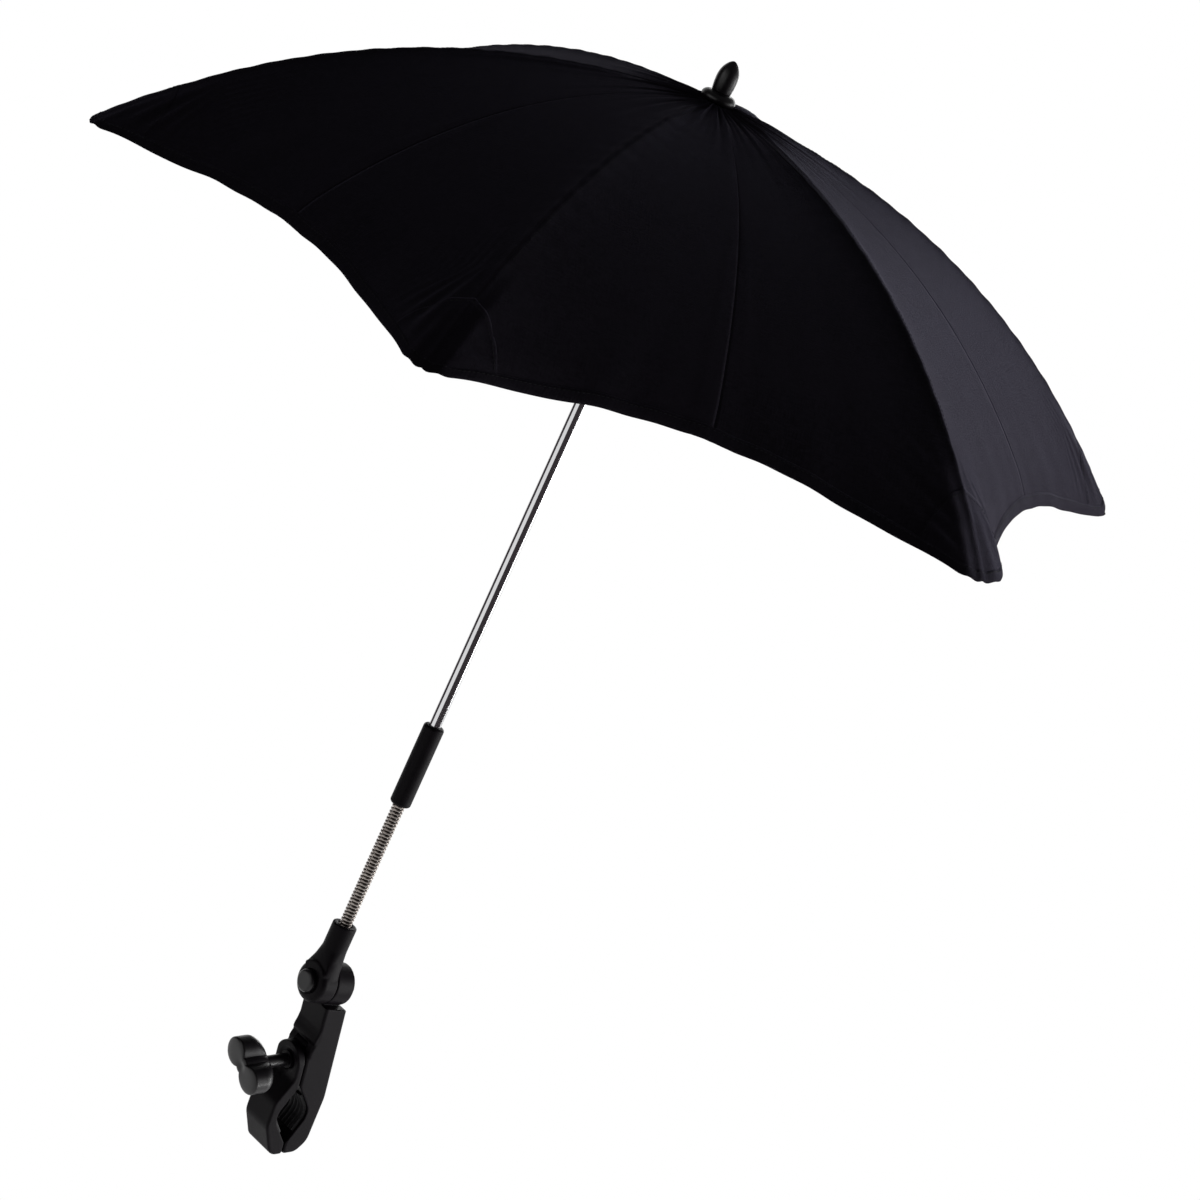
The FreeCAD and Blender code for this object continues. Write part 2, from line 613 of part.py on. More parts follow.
def cloth_point(angle, share):
    """Upper side of the cloth at an angle from a rib, from the shaft's hole to the hem."""
    to_chord = math.cos(GORE_HALF - angle) / math.cos(GORE_HALF)
    plan = CLOTH_BORE + (hem_distance(angle) - CLOTH_BORE) * share
    on_chord = plan * to_chord
    across = math.tan(GORE_HALF - angle) / math.tan(GORE_HALF)
    sag = GORE_SAG * (1 - across**2) * share**2
    height = ARC_CENTRE_Z + math.sqrt(CLOTH_ARC**2 - on_chord**2) - sag
    return Vector(plan * math.cos(angle), plan * math.sin(angle), height)


def half_panel():
    """Cloth from a rib to just short of the middle of the gore."""
    widest = GORE_HALF - BODY_GAP / 2 / hem_middle
    rows = []
    for i in range(PANEL_ROWS):
        share = i / (PANEL_ROWS - 1)
        angles = [widest * (j / (PANEL_COLUMNS - 1))**1.5 for j in range(PANEL_COLUMNS)]
        rows.append([cloth_point(angle, share) for angle in angles])
    surface = Part.BSplineSurface()
    surface.interpolate(rows)
    return surface.toShape().extrude(Z_AXIS * -CLOTH)


one_half = half_panel()
panel = one_half.fuse(one_half.mirror(Vector(0, 0, 0), Y_AXIS)).removeSplitter()

for i in range(RIBS):
    number = str(i + 1)
    save("rib_" + number, around(rib, i))
    save("rib_tip_" + number, around(cap, i))
    save("rib_rivet_" + number, around(rivet, i))
    save("stretcher_" + number, around(stretcher, i))
    save("canopy_panel_" + number, around(panel, i))


# Tilt socket: a round neck that flares into the front disc of the hinge
def turned_about_hinge(radius, start_x, end_x):
    """Round solid on the axis of the tilt hinge."""
    return rod(radius, Vector(start_x, 0, 0), Vector(end_x, 0, 0))


socket = turned_about_hinge(KNUCKLE_RADIUS, -SOCKET_FRONT, SOCKET_BACK)
round_neck = rod(SOCKET_D / 2, Vector(0, 0, SOCKET_STRAIGHT), Vector(0, 0, SOCKET_TOP))
foot_corners = [
    Vector(-SOCKET_FRONT, -KNUCKLE_RADIUS, 0),
    Vector(SOCKET_BACK, -KNUCKLE_RADIUS, 0),
    Vector(SOCKET_BACK, KNUCKLE_RADIUS, 0),
    Vector(-SOCKET_FRONT, KNUCKLE_RADIUS, 0)]
flare_foot = Part.makePolygon(foot_corners + foot_corners[:1])


def neck_rim(eighths):
    """Point of the round neck's lower rim, in eighths of a turn from +X."""
    turn = eighths * math.pi / 4
    return Vector(SOCKET_D / 2 * math.cos(turn), SOCKET_D / 2 * math.sin(turn), SOCKET_STRAIGHT)


flare_head = Part.Wire([
    Part.Arc(neck_rim(5 + 2 * i), neck_rim(6 + 2 * i), neck_rim(7 + 2 * i)).toShape() for i in range(4)])
flare = Part.makeLoft([flare_foot, flare_head], True, True)
socket = socket.fuse(flare).fuse(round_neck)
behind_parting = block(
    Vector(SOCKET_BACK, -SOCKET_D, -KNUCKLE_RADIUS),
    Vector(SOCKET_BACK + SOCKET_D, SOCKET_D, KNUCKLE_RADIUS + BODY_GAP))
socket = socket.cut(behind_parting)
neck_floor = SOCKET_TOP - NECK_SEAT
socket = socket.cut(rod(spring_bore, Vector(0, 0, neck_floor), Vector(0, 0, SOCKET_TOP)))
socket = socket.cut(rod(CORE_R + SEAT_GAP, Vector(0, 0, core_foot), Vector(0, 0, SOCKET_TOP)))
button_bore = BUTTON_D / 2 + BUTTON_ROOM
lip_bore = button_bore + BUTTON_LIP
lip_front = -SOCKET_FRONT + BUTTON_SKIRT - BUTTON_LIP_HEIGHT - RUNNING
button_floor = -SOCKET_FRONT + BUTTON_SKIRT + BUTTON_TRAVEL + BODY_GAP
socket = socket.cut(turned_about_hinge(button_bore, -SOCKET_FRONT, button_floor))
socket = socket.cut(turned_about_hinge(lip_bore, lip_front, button_floor))
socket = socket.cut(turned_about_hinge(BOLT_D / 2 + RUNNING, button_floor, SOCKET_BACK))
save("socket", socket.removeSplitter())

# Push button with its coil, and the bolt that the socket tilts on
button_face = -SOCKET_FRONT - BUTTON_PROUD
button_back = -SOCKET_FRONT + BUTTON_SKIRT
button = lathe([
    (0, button_face, 0),
    (BUTTON_D / 2, button_face, BUTTON_ROUND),
    (BUTTON_D / 2, button_back - BUTTON_LIP_HEIGHT, 0),
    (BUTTON_D / 2 + BUTTON_LIP, button_back - BUTTON_LIP_HEIGHT, 0),
    (BUTTON_D / 2 + BUTTON_LIP, button_back, 0),
    (BUTTON_D / 2 - BUTTON_WALL, button_back, 0),
    (BUTTON_D / 2 - BUTTON_WALL, button_face + BUTTON_WALL, 0),
    (0, button_face + BUTTON_WALL, 0)])
button.rotate(Vector(0, 0, 0), Y_AXIS, 90)
save("tilt_button", button)

coil_outer = BUTTON_D / 2 - BUTTON_WALL - BODY_GAP
coil_room = button_floor - button_face - BUTTON_WALL - 2 * BODY_GAP
coil_slope = math.atan2(coil_room, math.pi * BUTTON_D)
coil_height = coil_room - BUTTON_WIRE - 2 * BUTTON_WIRE * math.sin(coil_slope)
button_coil = coil("button_spring", BUTTON_WIRE, coil_outer - BUTTON_WIRE, coil_height, BUTTON_COILS)
button_coil.rotate(Vector(0, 0, 0), Y_AXIS, 90)
coil_middle = (button_floor + button_face + BUTTON_WALL) / 2
button_coil.translate(X_AXIS * (coil_middle - button_coil.BoundBox.Center.x))
save("button_spring", button_coil)

bolt = turned_about_hinge(BOLT_D / 2, button_floor - BODY_GAP, EAR_BACK)
bolt_head = turned_about_hinge(BOLT_HEAD_D / 2, button_floor - BODY_GAP - BOLT_HEAD, button_floor - BODY_GAP)
save("tilt_bolt", bolt.fuse(bolt_head).removeSplitter())


# Clamp: the outline of the mouth, shared by both jaws and their pads
def mouth_points(radius, flank):
    """Half outline of the mouth: flank, round middle, flank, as seen from its centre."""
    angle = math.radians(MOUTH_HALF_ANGLE)
    touch = Vector(radius * math.cos(angle), 0, radius * math.sin(angle))
    end = touch + Vector(-math.sin(angle), 0, math.cos(angle)) * flank
    lower = [Vector(p.x, 0, -p.z) for p in (touch, end)]
    return end, touch, Vector(radius, 0, 0), lower[0], lower[1]


def pad_solid(side):
    """Rubber inlay of one jaw; side is +1 for the fixed jaw and -1 for the movable one."""
    inner = mouth_points(MOUTH_RADIUS, PAD_FLANK)
    outer = mouth_points(MOUTH_RADIUS + PAD_THICK, PAD_FLANK)

    def place(point):
        return Vector(MOUTH_X + side * point.x, -PAD_WIDTH / 2, point.z - MOUTH_DROP)

    i = [place(point) for point in inner]
    o = [place(point) for point in outer]
    edges = [
        Part.LineSegment(i[0], i[1]).toShape(),
        Part.Arc(i[1], i[2], i[3]).toShape(),
        Part.LineSegment(i[3], i[4]).toShape(),
        Part.LineSegment(i[4], o[4]).toShape(),
        Part.LineSegment(o[4], o[3]).toShape(),
        Part.Arc(o[3], o[2], o[1]).toShape(),
        Part.LineSegment(o[1], o[0]).toShape(),
        Part.LineSegment(o[0], i[0]).toShape()]
    return Part.Face(Part.Wire(edges)).extrude(Y_AXIS * PAD_WIDTH)


half_angle = math.radians(MOUTH_HALF_ANGLE)
corner_rise = (MOUTH_RADIUS - MOUTH_SPLIT * math.cos(half_angle)) / math.sin(half_angle)
mouth_low = -MOUTH_DROP - corner_rise
lens_edges = []
lens_flank = (MOUTH_RADIUS * math.cos(half_angle)) / math.sin(half_angle)
for side in (1, -1):
    half = [Vector(MOUTH_X + side * p.x, -JAW_WIDTH, p.z - MOUTH_DROP)
            for p in mouth_points(MOUTH_RADIUS, lens_flank)]
    lens_edges.append(Part.LineSegment(half[0], half[1]).toShape())
    lens_edges.append(Part.Arc(half[1], half[2], half[3]).toShape())
    lens_edges.append(Part.LineSegment(half[3], half[4]).toShape())
mouth = Part.Face(Part.Wire(Part.__sortEdges__(lens_edges))).extrude(Y_AXIS * 2 * JAW_WIDTH)

jaw_foot = mouth_low - JAW_TIP
screw_z = -SCREW_DROP
pivot_z = screw_z + PIVOT_RISE
plate_back = MOUTH_X - MOUTH_SPLIT
plate_front = plate_back - PLATE_THICK
fixed_ledge = MOUTH_X + MOUTH_SPLIT
far_out = -2 * JAW_WIDTH


def edges_on_sides(solid, width):
    """Edges that lie in the two side faces of a prism."""
    found = []
    for edge in solid.Edges:
        box = edge.BoundBox
        if box.YLength < RUNNING and abs(abs(box.Center.y) - width / 2) < RUNNING:
            found.append(edge)
    return found


# Fixed jaw with the rear disc of the hinge
lug_front = PIVOT_X - PIVOT_KNUCKLE
lug_foot = pivot_z - PIVOT_KNUCKLE - BODY_GAP
fixed = side_prism([
    (JAW_FRONT, 0, 0),
    (JAW_FRONT, pivot_z + LUG_SLOPE, JAW_CORNER),
    (lug_front, pivot_z, JAW_CORNER),
    (lug_front, lug_foot, 0),
    (fixed_ledge, lug_foot, 0),
    (fixed_ledge, jaw_foot, JAW_CORNER),
    (MOUTH_X + TOE[0], jaw_foot, TOE[1]),
    (MOUTH_X + HEEL[0], -HEEL[1], HEEL[2]),
    (MOUTH_X + HEEL_BEND[0], -HEEL_BEND[1], HEEL_BEND[2]),
    (JAW_BACK, 0, 0)], JAW_WIDTH)
fixed = fixed.makeFillet(JAW_EDGE, edges_on_sides(fixed, JAW_WIDTH))
fixed = fixed.cut(mouth)
fixed_pad = pad_solid(1)
fixed = fixed.cut(fixed_pad)
pivot_pin = cross_pin(PIVOT_PIN_D / 2, Vector(PIVOT_X, 0, pivot_z), JAW_WIDTH - 2 * JAW_EDGE)
fixed = fixed.cut(pivot_pin)
knuckle_room = PIVOT_KNUCKLE + BODY_GAP
knuckle_slot = PIVOT_WIDTH + 2 * BODY_GAP
knuckle_centre = Vector(PIVOT_X, 0, pivot_z)
fixed = fixed.cut(cross_pin(knuckle_room, knuckle_centre, knuckle_slot))
fixed = fixed.cut(block(
    Vector(far_out, -knuckle_slot / 2, pivot_z - knuckle_room),
    Vector(PIVOT_X, knuckle_slot / 2, pivot_z + knuckle_room)))
slot_r = SCREW_D / 2 + SCREW_HOLE_ROOM
screw_hole = rod(slot_r, Vector(far_out, 0, screw_z), Vector(2 * EAR_BACK, 0, screw_z))
fixed = fixed.cut(screw_hole)


def hexagon(flats, start_x, end_x):
    """Six-sided prism on the screw's axis."""
    corner = flats / math.sqrt(3)
    points = []
    for i in range(7):
        turn = i * math.pi / 3
        points.append(Vector(start_x, corner * math.sin(turn), screw_z + corner * math.cos(turn)))
    return Part.Face(Part.makePolygon(points)).extrude(X_AXIS * (end_x - start_x))


fixed = fixed.cut(hexagon(NUT_FLATS + 2 * SEAT_GAP, NUT_SEAT, 2 * EAR_BACK))
fixed = leaned(fixed)
fixed = fixed.cut(block(Vector(far_out, -JAW_WIDTH, -JAW_HEAD), Vector(-far_out, JAW_WIDTH, JAW_WIDTH)))
fixed = fixed.cut(turned_about_hinge(KNUCKLE_RADIUS + BODY_GAP, far_out, EAR_FRONT))
fixed = fixed.fuse(turned_about_hinge(KNUCKLE_RADIUS, EAR_FRONT, EAR_BACK)).removeSplitter()
fixed = fixed.cut(bolt)
save("fixed_jaw", fixed)
save_on_clamp("fixed_jaw_pad", fixed_pad)
save_on_clamp("jaw_hinge_pin", pivot_pin)
screw_core = rod(SCREW_D / 2, Vector(NUT_SEAT, 0, screw_z), Vector(NUT_SEAT + NUT_THICK, 0, screw_z))
save_on_clamp("clamp_nut", hexagon(NUT_FLATS, NUT_SEAT, NUT_SEAT + NUT_THICK).cut(screw_core))

# Movable jaw: a round-topped plate with a dished screw slot, over the front half of the mouth
plate_radius = JAW_WIDTH / 2
movable_foot = jaw_foot + BODY_GAP
movable = side_prism([
    (plate_back, screw_z + plate_radius, 0),
    (plate_back, movable_foot, JAW_CORNER),
    (MOUTH_X - TOE[0], movable_foot, TOE[1]),
    (MOUTH_X - BELLY[0], -BELLY[1], BELLY[2]),
    (MOUTH_X - SHOULDER[0], -SHOULDER[1], SHOULDER[2]),
    (plate_front, screw_z - DISH_RADIUS, INSTEP_ROUND),
    (plate_front, screw_z + plate_radius, 0)], JAW_WIDTH)
movable = movable.makeFillet(JAW_EDGE, edges_on_sides(movable, JAW_WIDTH))
round_top = rod(plate_radius, Vector(far_out, 0, screw_z), Vector(EAR_BACK, 0, screw_z))
below_screw = block(Vector(far_out, -JAW_WIDTH, 2 * jaw_foot), Vector(EAR_BACK, JAW_WIDTH, screw_z))
movable = movable.common(round_top.fuse(below_screw))
knuckle = cross_pin(PIVOT_KNUCKLE, knuckle_centre, PIVOT_WIDTH)
knuckle_web = block(
    Vector(plate_back - RUNNING, -PIVOT_WIDTH / 2, pivot_z - PIVOT_KNUCKLE),
    Vector(PIVOT_X, PIVOT_WIDTH / 2, pivot_z + WEB_RISE))
movable = movable.multiFuse([knuckle, knuckle_web]).removeSplitter()
movable = movable.cut(mouth)
movable_pad = pad_solid(-1)
movable = movable.cut(movable_pad)
movable = movable.cut(cross_pin(PIVOT_PIN_D / 2 + RUNNING, knuckle_centre, 2 * JAW_WIDTH))
slot_high = screw_z + SCREW_SLOT_UP
slot_low = screw_z - SCREW_SLOT_DOWN
slot_back = plate_back + RUNNING
for height in (slot_low, slot_high):
    movable = movable.cut(rod(slot_r, Vector(far_out, 0, height), Vector(slot_back, 0, height)))
movable = movable.cut(block(Vector(far_out, -slot_r, slot_low), Vector(slot_back, slot_r, slot_high)))
dish_sphere = (DISH_RADIUS**2 + DISH_DEPTH**2) / (2 * DISH_DEPTH)
dish_centre = Vector(plate_front + DISH_DEPTH - dish_sphere, 0, screw_z)
movable = movable.cut(Part.makeSphere(dish_sphere, dish_centre))
save_on_clamp("movable_jaw", movable)
save_on_clamp("movable_jaw_pad", movable_pad)

# Clamp screw: washer in the dish, threaded rod, two-lobed knob on a stalk
washer_seat = dish_centre.x + math.sqrt(dish_sphere**2 - WASHER_RADIUS**2) - BODY_GAP
washer_front = washer_seat - WASHER_THICK
screw_run = SCREW_D / 2 - RUNNING
washer = rod(WASHER_RADIUS, Vector(washer_front, 0, screw_z), Vector(washer_seat, 0, screw_z))
save_on_clamp("clamp_washer", washer.cut(screw_hole))
stalk_back = washer_front - BODY_GAP
knob_back = stalk_back - STALK_LENGTH
knob_front = knob_back - KNOB_DEPTH
rod_front = knob_back - KNOB_SOCKET
save_on_clamp("screw_rod", rod(screw_run, Vector(rod_front, 0, screw_z), Vector(SCREW_TAIL, 0, screw_z)))

waist_arc = (KNOB_WAIST**2 + KNOB_REACH**2 - KNOB_LOBE**2) / (2 * (KNOB_LOBE - KNOB_WAIST))
waist_centre = KNOB_WAIST + waist_arc
to_waist = Vector(0, waist_centre, -KNOB_REACH).normalize() * KNOB_LOBE
touch_side = to_waist.y
touch_rise = KNOB_REACH + to_waist.z


def knob_point(side, rise):
    """Point of the knob's outline, seen along the screw."""
    return Vector(knob_front, side, screw_z + rise)


lobe_end = KNOB_REACH + KNOB_LOBE
knob_edges = [
    Part.Arc(knob_point(touch_side, touch_rise), knob_point(0, lobe_end),
             knob_point(-touch_side, touch_rise)).toShape(),
    Part.Arc(knob_point(-touch_side, touch_rise), knob_point(-KNOB_WAIST, 0),
             knob_point(-touch_side, -touch_rise)).toShape(),
    Part.Arc(knob_point(-touch_side, -touch_rise), knob_point(0, -lobe_end),
             knob_point(touch_side, -touch_rise)).toShape(),
    Part.Arc(knob_point(touch_side, -touch_rise), knob_point(KNOB_WAIST, 0),
             knob_point(touch_side, touch_rise)).toShape()]
knob = Part.Face(Part.Wire(knob_edges)).extrude(X_AXIS * KNOB_DEPTH)
knob = knob.makeFillet(KNOB_ROUND, knob.Edges)
stalk_foot = Vector(knob_back - KNOB_ROUND, 0, screw_z)
knob = knob.fuse(rod(STALK_RADIUS, stalk_foot, Vector(stalk_back, 0, screw_z)))
knob = knob.removeSplitter()
knob.rotate(Vector(0, 0, screw_z), X_AXIS, -KNOB_TURN)
knob_bore = rod(screw_run + SEAT_GAP, Vector(rod_front, 0, screw_z), Vector(0, 0, screw_z))
save_on_clamp("wing_knob", knob.cut(knob_bore))
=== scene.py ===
from math import acos, atan2, copysign, cos, exp, hypot, pi, radians, sin, sqrt, tan

import bpy
from mathutils import Matrix, Vector


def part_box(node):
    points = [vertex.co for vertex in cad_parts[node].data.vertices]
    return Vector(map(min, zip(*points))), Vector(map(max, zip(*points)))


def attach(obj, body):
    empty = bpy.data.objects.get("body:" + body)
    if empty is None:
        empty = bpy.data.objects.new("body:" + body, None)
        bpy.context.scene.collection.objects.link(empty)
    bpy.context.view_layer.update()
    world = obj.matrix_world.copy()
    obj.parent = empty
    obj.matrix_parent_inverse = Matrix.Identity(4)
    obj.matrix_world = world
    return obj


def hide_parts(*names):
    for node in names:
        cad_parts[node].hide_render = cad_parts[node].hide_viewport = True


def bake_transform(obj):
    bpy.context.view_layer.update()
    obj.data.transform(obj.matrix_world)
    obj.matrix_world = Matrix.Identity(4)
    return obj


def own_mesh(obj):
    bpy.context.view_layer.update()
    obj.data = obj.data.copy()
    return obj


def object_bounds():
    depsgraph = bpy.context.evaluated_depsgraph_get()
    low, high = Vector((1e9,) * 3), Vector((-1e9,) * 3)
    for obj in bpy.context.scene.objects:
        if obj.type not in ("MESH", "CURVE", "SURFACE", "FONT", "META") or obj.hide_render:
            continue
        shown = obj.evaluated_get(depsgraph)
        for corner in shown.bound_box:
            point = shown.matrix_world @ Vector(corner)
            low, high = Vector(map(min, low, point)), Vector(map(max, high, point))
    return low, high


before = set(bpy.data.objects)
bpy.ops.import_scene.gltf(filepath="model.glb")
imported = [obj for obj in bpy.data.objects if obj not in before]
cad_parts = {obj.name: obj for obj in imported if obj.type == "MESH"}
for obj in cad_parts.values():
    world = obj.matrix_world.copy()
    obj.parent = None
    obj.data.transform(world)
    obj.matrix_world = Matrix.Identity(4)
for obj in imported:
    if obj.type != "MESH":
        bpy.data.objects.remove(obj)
cad_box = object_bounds()

# Clamp body: the fixed jaw with the rear disc of the tilt hinge, one moulding of black nylon.
# Its edges are broken by the mould's small radius, and its skin is finely spark-textured.


def add_node(tree, kind, x, y, group=None, **values):
    """A shader node at a place in the editor, with plain values on its sockets."""
    made = tree.nodes.new(kind)
    made.location = (x, y)
    if group:
        made.node_tree = group
    for name, value in values.items():
        made.inputs[name.replace("_", " ")].default_value = value
    return made


def math_node(tree, operation, x, y, factor=None):
    """A Math node, with a plain second number where one is given."""
    made = add_node(tree, "ShaderNodeMath", x, y)
    made.operation = operation
    if factor is not None:
        made.inputs[1].default_value = factor
    return made


def wire(tree, *links):
    """Joins nodes by links, each of a source, its output, a target and its socket."""
    for source, output, target, socket in links:
        tree.links.new(source.outputs[output], target.inputs[socket])


def new_group(name, inputs, outputs):
    """An empty shader node group with named float or vector sockets."""
    group = bpy.data.node_groups.new(name, "ShaderNodeTree")
    for label, kind, value in inputs:
        socket = group.interface.new_socket(label, in_out="INPUT", socket_type=kind)
        if kind == "NodeSocketFloat":
            socket.default_value = value
    for label in outputs:
        group.interface.new_socket(label, in_out="OUTPUT", socket_type="NodeSocketFloat")
    group_in = group.nodes.new("NodeGroupInput")
    group_in.location = (-700, 0)
    group_out = group.nodes.new("NodeGroupOutput")
    group_out.location = (700, 0)
    return group, group_in, group_out


def new_material(name, **values):
    """A material with its Principled shader, with plain values, joined to the output."""
    made = bpy.data.materials.new(name)
    made.use_nodes = True
    tree = made.node_tree
    tree.nodes.clear()
    shader = add_node(tree, "ShaderNodeBsdfPrincipled", 600, 0, **values)
    output = add_node(tree, "ShaderNodeOutputMaterial", 900, 0)
    wire(tree, (shader, "BSDF", output, "Surface"))
    return made, tree, shader


def ramp_between(tree, x, y, low, high, start=0.0, end=1.0):
    """A two-colour ramp."""
    made = add_node(tree, "ShaderNodeValToRGB", x, y)
    first, last = made.color_ramp.elements
    first.position, first.color = start, (*low, 1)
    last.position, last.color = end, (*high, 1)
    return made


def spread(tree, x, y, low, high):
    """A Map Range node from 0..1 to low..high."""
    return add_node(tree, "ShaderNodeMapRange", x, y, To_Min=low, To_Max=high)


# fine texture of a spark-eroded mould, with cloudy shine and a few rubbed streaks
moulded_skin, skin_in, skin_out = new_group(
    "moulded_skin",
    [("Vector", "NodeSocketVector", None), ("Grain", "NodeSocketFloat", 2200.0)],
    ["Height", "Cloud", "Rub"])
grain_noise = add_node(moulded_skin, "ShaderNodeTexNoise", -300, 200, Detail=3.0, Roughness=0.6)
cloud_noise = add_node(moulded_skin, "ShaderNodeTexNoise", -300, -50, Scale=55.0, Detail=4.0)
rub_stretch = add_node(moulded_skin, "ShaderNodeMapping", -500, -300, Scale=(1.0, 1.0, 0.12))
rub_noise = add_node(moulded_skin, "ShaderNodeTexNoise", -300, -300, Scale=420.0, Detail=2.0)
rub_mask = add_node(moulded_skin, "ShaderNodeMapRange", 0, -300, From_Min=0.62, From_Max=0.74)
wire(
    moulded_skin, (skin_in, "Vector", grain_noise, "Vector"),
    (skin_in, "Grain", grain_noise, "Scale"), (skin_in, "Vector", cloud_noise, "Vector"),
    (skin_in, "Vector", rub_stretch, "Vector"), (rub_stretch, "Vector", rub_noise, "Vector"),
    (rub_noise, "Fac", rub_mask, "Value"), (grain_noise, "Fac", skin_out, "Height"),
    (cloud_noise, "Fac", skin_out, "Cloud"), (rub_mask, "Result", skin_out, "Rub"))


def moulded_plastic(name, dark, light, rough, mirror, grain, depth):
    """Black moulded plastic: colour clouds, roughness from cloud and rub, skin from the grain."""
    made, tree, shader = new_material(name, Specular_IOR_Level=mirror)
    place = add_node(tree, "ShaderNodeTexCoord", -700, 0)
    skin = add_node(tree, "ShaderNodeGroup", -450, 0, moulded_skin, Grain=grain)
    colour = ramp_between(tree, -150, 200, dark, light, 0.3, 0.75)
    shine = spread(tree, -150, -50, *rough)
    rubbed = math_node(tree, "MULTIPLY_ADD", 100, -50, -0.06)
    bump = add_node(tree, "ShaderNodeBump", 100, -250, Strength=0.35, Distance=depth)
    wire(
        tree, (place, "Object", skin, "Vector"), (skin, "Cloud", colour, "Fac"),
        (skin, "Cloud", shine, "Value"), (skin, "Rub", rubbed, 0), (shine, "Result", rubbed, 2),
        (skin, "Height", bump, "Height"), (colour, "Color", shader, "Base Color"),
        (rubbed, "Value", shader, "Roughness"), (bump, "Normal", shader, "Normal"))
    return made


satin_plastic = moulded_plastic(
    "satin_plastic", dark=(0.0040, 0.0031, 0.0042), light=(0.0068, 0.0054, 0.0072),
    rough=(0.4, 0.54), mirror=0.06, grain=2400.0, depth=0.00012)


def finish_node(node, material):
    """Gives a CAD node its material."""
    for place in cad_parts[node].material_slots:
        place.material = material


def start_piece():
    """Leaves edit mode and deselects everything, ready for the next piece."""
    if bpy.context.object and bpy.context.object.mode == "EDIT":
        bpy.ops.object.mode_set(mode="OBJECT")
    bpy.ops.object.select_all(action="DESELECT")


def take_up(piece):
    """Makes a piece the active one and the only one selected."""
    start_piece()
    bpy.context.view_layer.objects.active = piece
    piece.select_set(True)


def edit_all():
    """Puts the active piece in edit mode with everything selected."""
    bpy.ops.object.mode_set(mode="EDIT")
    bpy.ops.mesh.select_all(action="SELECT")


def face_outward():
    """Points all faces of the active piece outward, and leaves edit mode."""
    edit_all()
    bpy.ops.mesh.normals_make_consistent(inside=False)
    bpy.ops.object.mode_set(mode="OBJECT")


def modify(piece, kind, **settings):
    """Adds a modifier with its settings to the active piece, and applies it."""
    made = piece.modifiers.new(kind, kind)
    for setting, value in settings.items():
        setattr(made, setting, value)
    bpy.ops.object.modifier_apply(modifier=made.name)


def add_object(name, data):
    """A new object in the scene."""
    made = bpy.data.objects.new(name, data)
    bpy.context.scene.collection.objects.link(made)
    return made


def copy_of_node(node, name):
    """A copy of a CAD node's mesh with its triangles joined, as the start of a softer moulding."""
    piece = add_object(name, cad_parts[node].data.copy())
    take_up(piece)
    piece.data.materials.clear()
    edit_all()
    bpy.ops.mesh.remove_doubles(threshold=2e-6)
    bpy.ops.object.mode_set(mode="OBJECT")
    return piece


def round_moulding(piece, voxel, rounds, material):
    """Flows a rough form into one skin and softens its edges, as the mould's radii do."""
    take_up(piece)
    modify(piece, "REMESH", mode="VOXEL", voxel_size=voxel)
    modify(piece, "SMOOTH", factor=0.5, iterations=rounds)
    bpy.ops.object.shade_smooth()
    piece.data.materials.append(material)


def extra_form(outline, low_y, high_y):
    """A straight form across the clamp, from its side outline in the clamp's own leaned frame."""
    start_piece()
    bpy.ops.mesh.primitive_circle_add(vertices=len(outline), radius=1, fill_type="NGON")
    form = bpy.context.object
    for vertex, (x, z) in zip(form.data.vertices, outline):
        vertex.co = on_clamp(x, low_y, z)
    edit_all()
    bpy.ops.mesh.extrude_region_move(TRANSFORM_OT_translate={"value": (0, high_y - low_y, 0)})
    face_outward()
    return form


def join_forms(piece, *forms):
    """Joins forms into a piece, before it is flowed into one skin."""
    take_up(piece)
    for form in forms:
        form.select_set(True)
    bpy.ops.object.join()


CLAMP_LEAN = radians(12.0)
HINGE = Vector((-0.015142, 0, 0.0928815))


def on_clamp(x, y, z):
    """A place in the clamp's leaned frame, from the middle of the tilt hinge."""
    return HINGE + Vector((
        x * cos(CLAMP_LEAN) - z * sin(CLAMP_LEAN), y,
        x * sin(CLAMP_LEAN) + z * cos(CLAMP_LEAN)))


# the body bulges forward above the movable jaw's round plate, clear of its swing
JAW_BULGE = (
    (0.0030, -0.0245), (0.0012, -0.0300), (0.0001, -0.0345), (-0.0011, -0.0378), (-0.0016, -0.0400),
    (-0.0008, -0.0418), (0.0030, -0.0440))
BULGE_HALF = 0.01285
body = copy_of_node("fixed_jaw", "clamp_body_moulding")
join_forms(body, extra_form(JAW_BULGE, -BULGE_HALF, BULGE_HALF))
round_moulding(body, voxel=0.0005, rounds=9, material=satin_plastic)
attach(body, "clamp_body")
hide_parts("fixed_jaw")

# Plated hardware of the clamp: tilt bolt, pin of the movable jaw, captive nut and screw.
# Zinc-plated steel, with the fine turning marks of bar stock and a slightly milky film.
drawn_metal, metal_in, metal_out = new_group(
    "drawn_metal", [("Vector", "NodeSocketVector", None)], ["Streak", "Smudge"])
streak_noise = add_node(drawn_metal, "ShaderNodeTexNoise", -300, 150, Scale=1.0, Detail=3.0)
smudge_noise = add_node(drawn_metal, "ShaderNodeTexNoise", -300, -150, Scale=0.06, Detail=4.0)
wire(
    drawn_metal, (metal_in, "Vector", streak_noise, "Vector"),
    (metal_in, "Vector", smudge_noise, "Vector"), (streak_noise, "Fac", metal_out, "Streak"),
    (smudge_noise, "Fac", metal_out, "Smudge"))


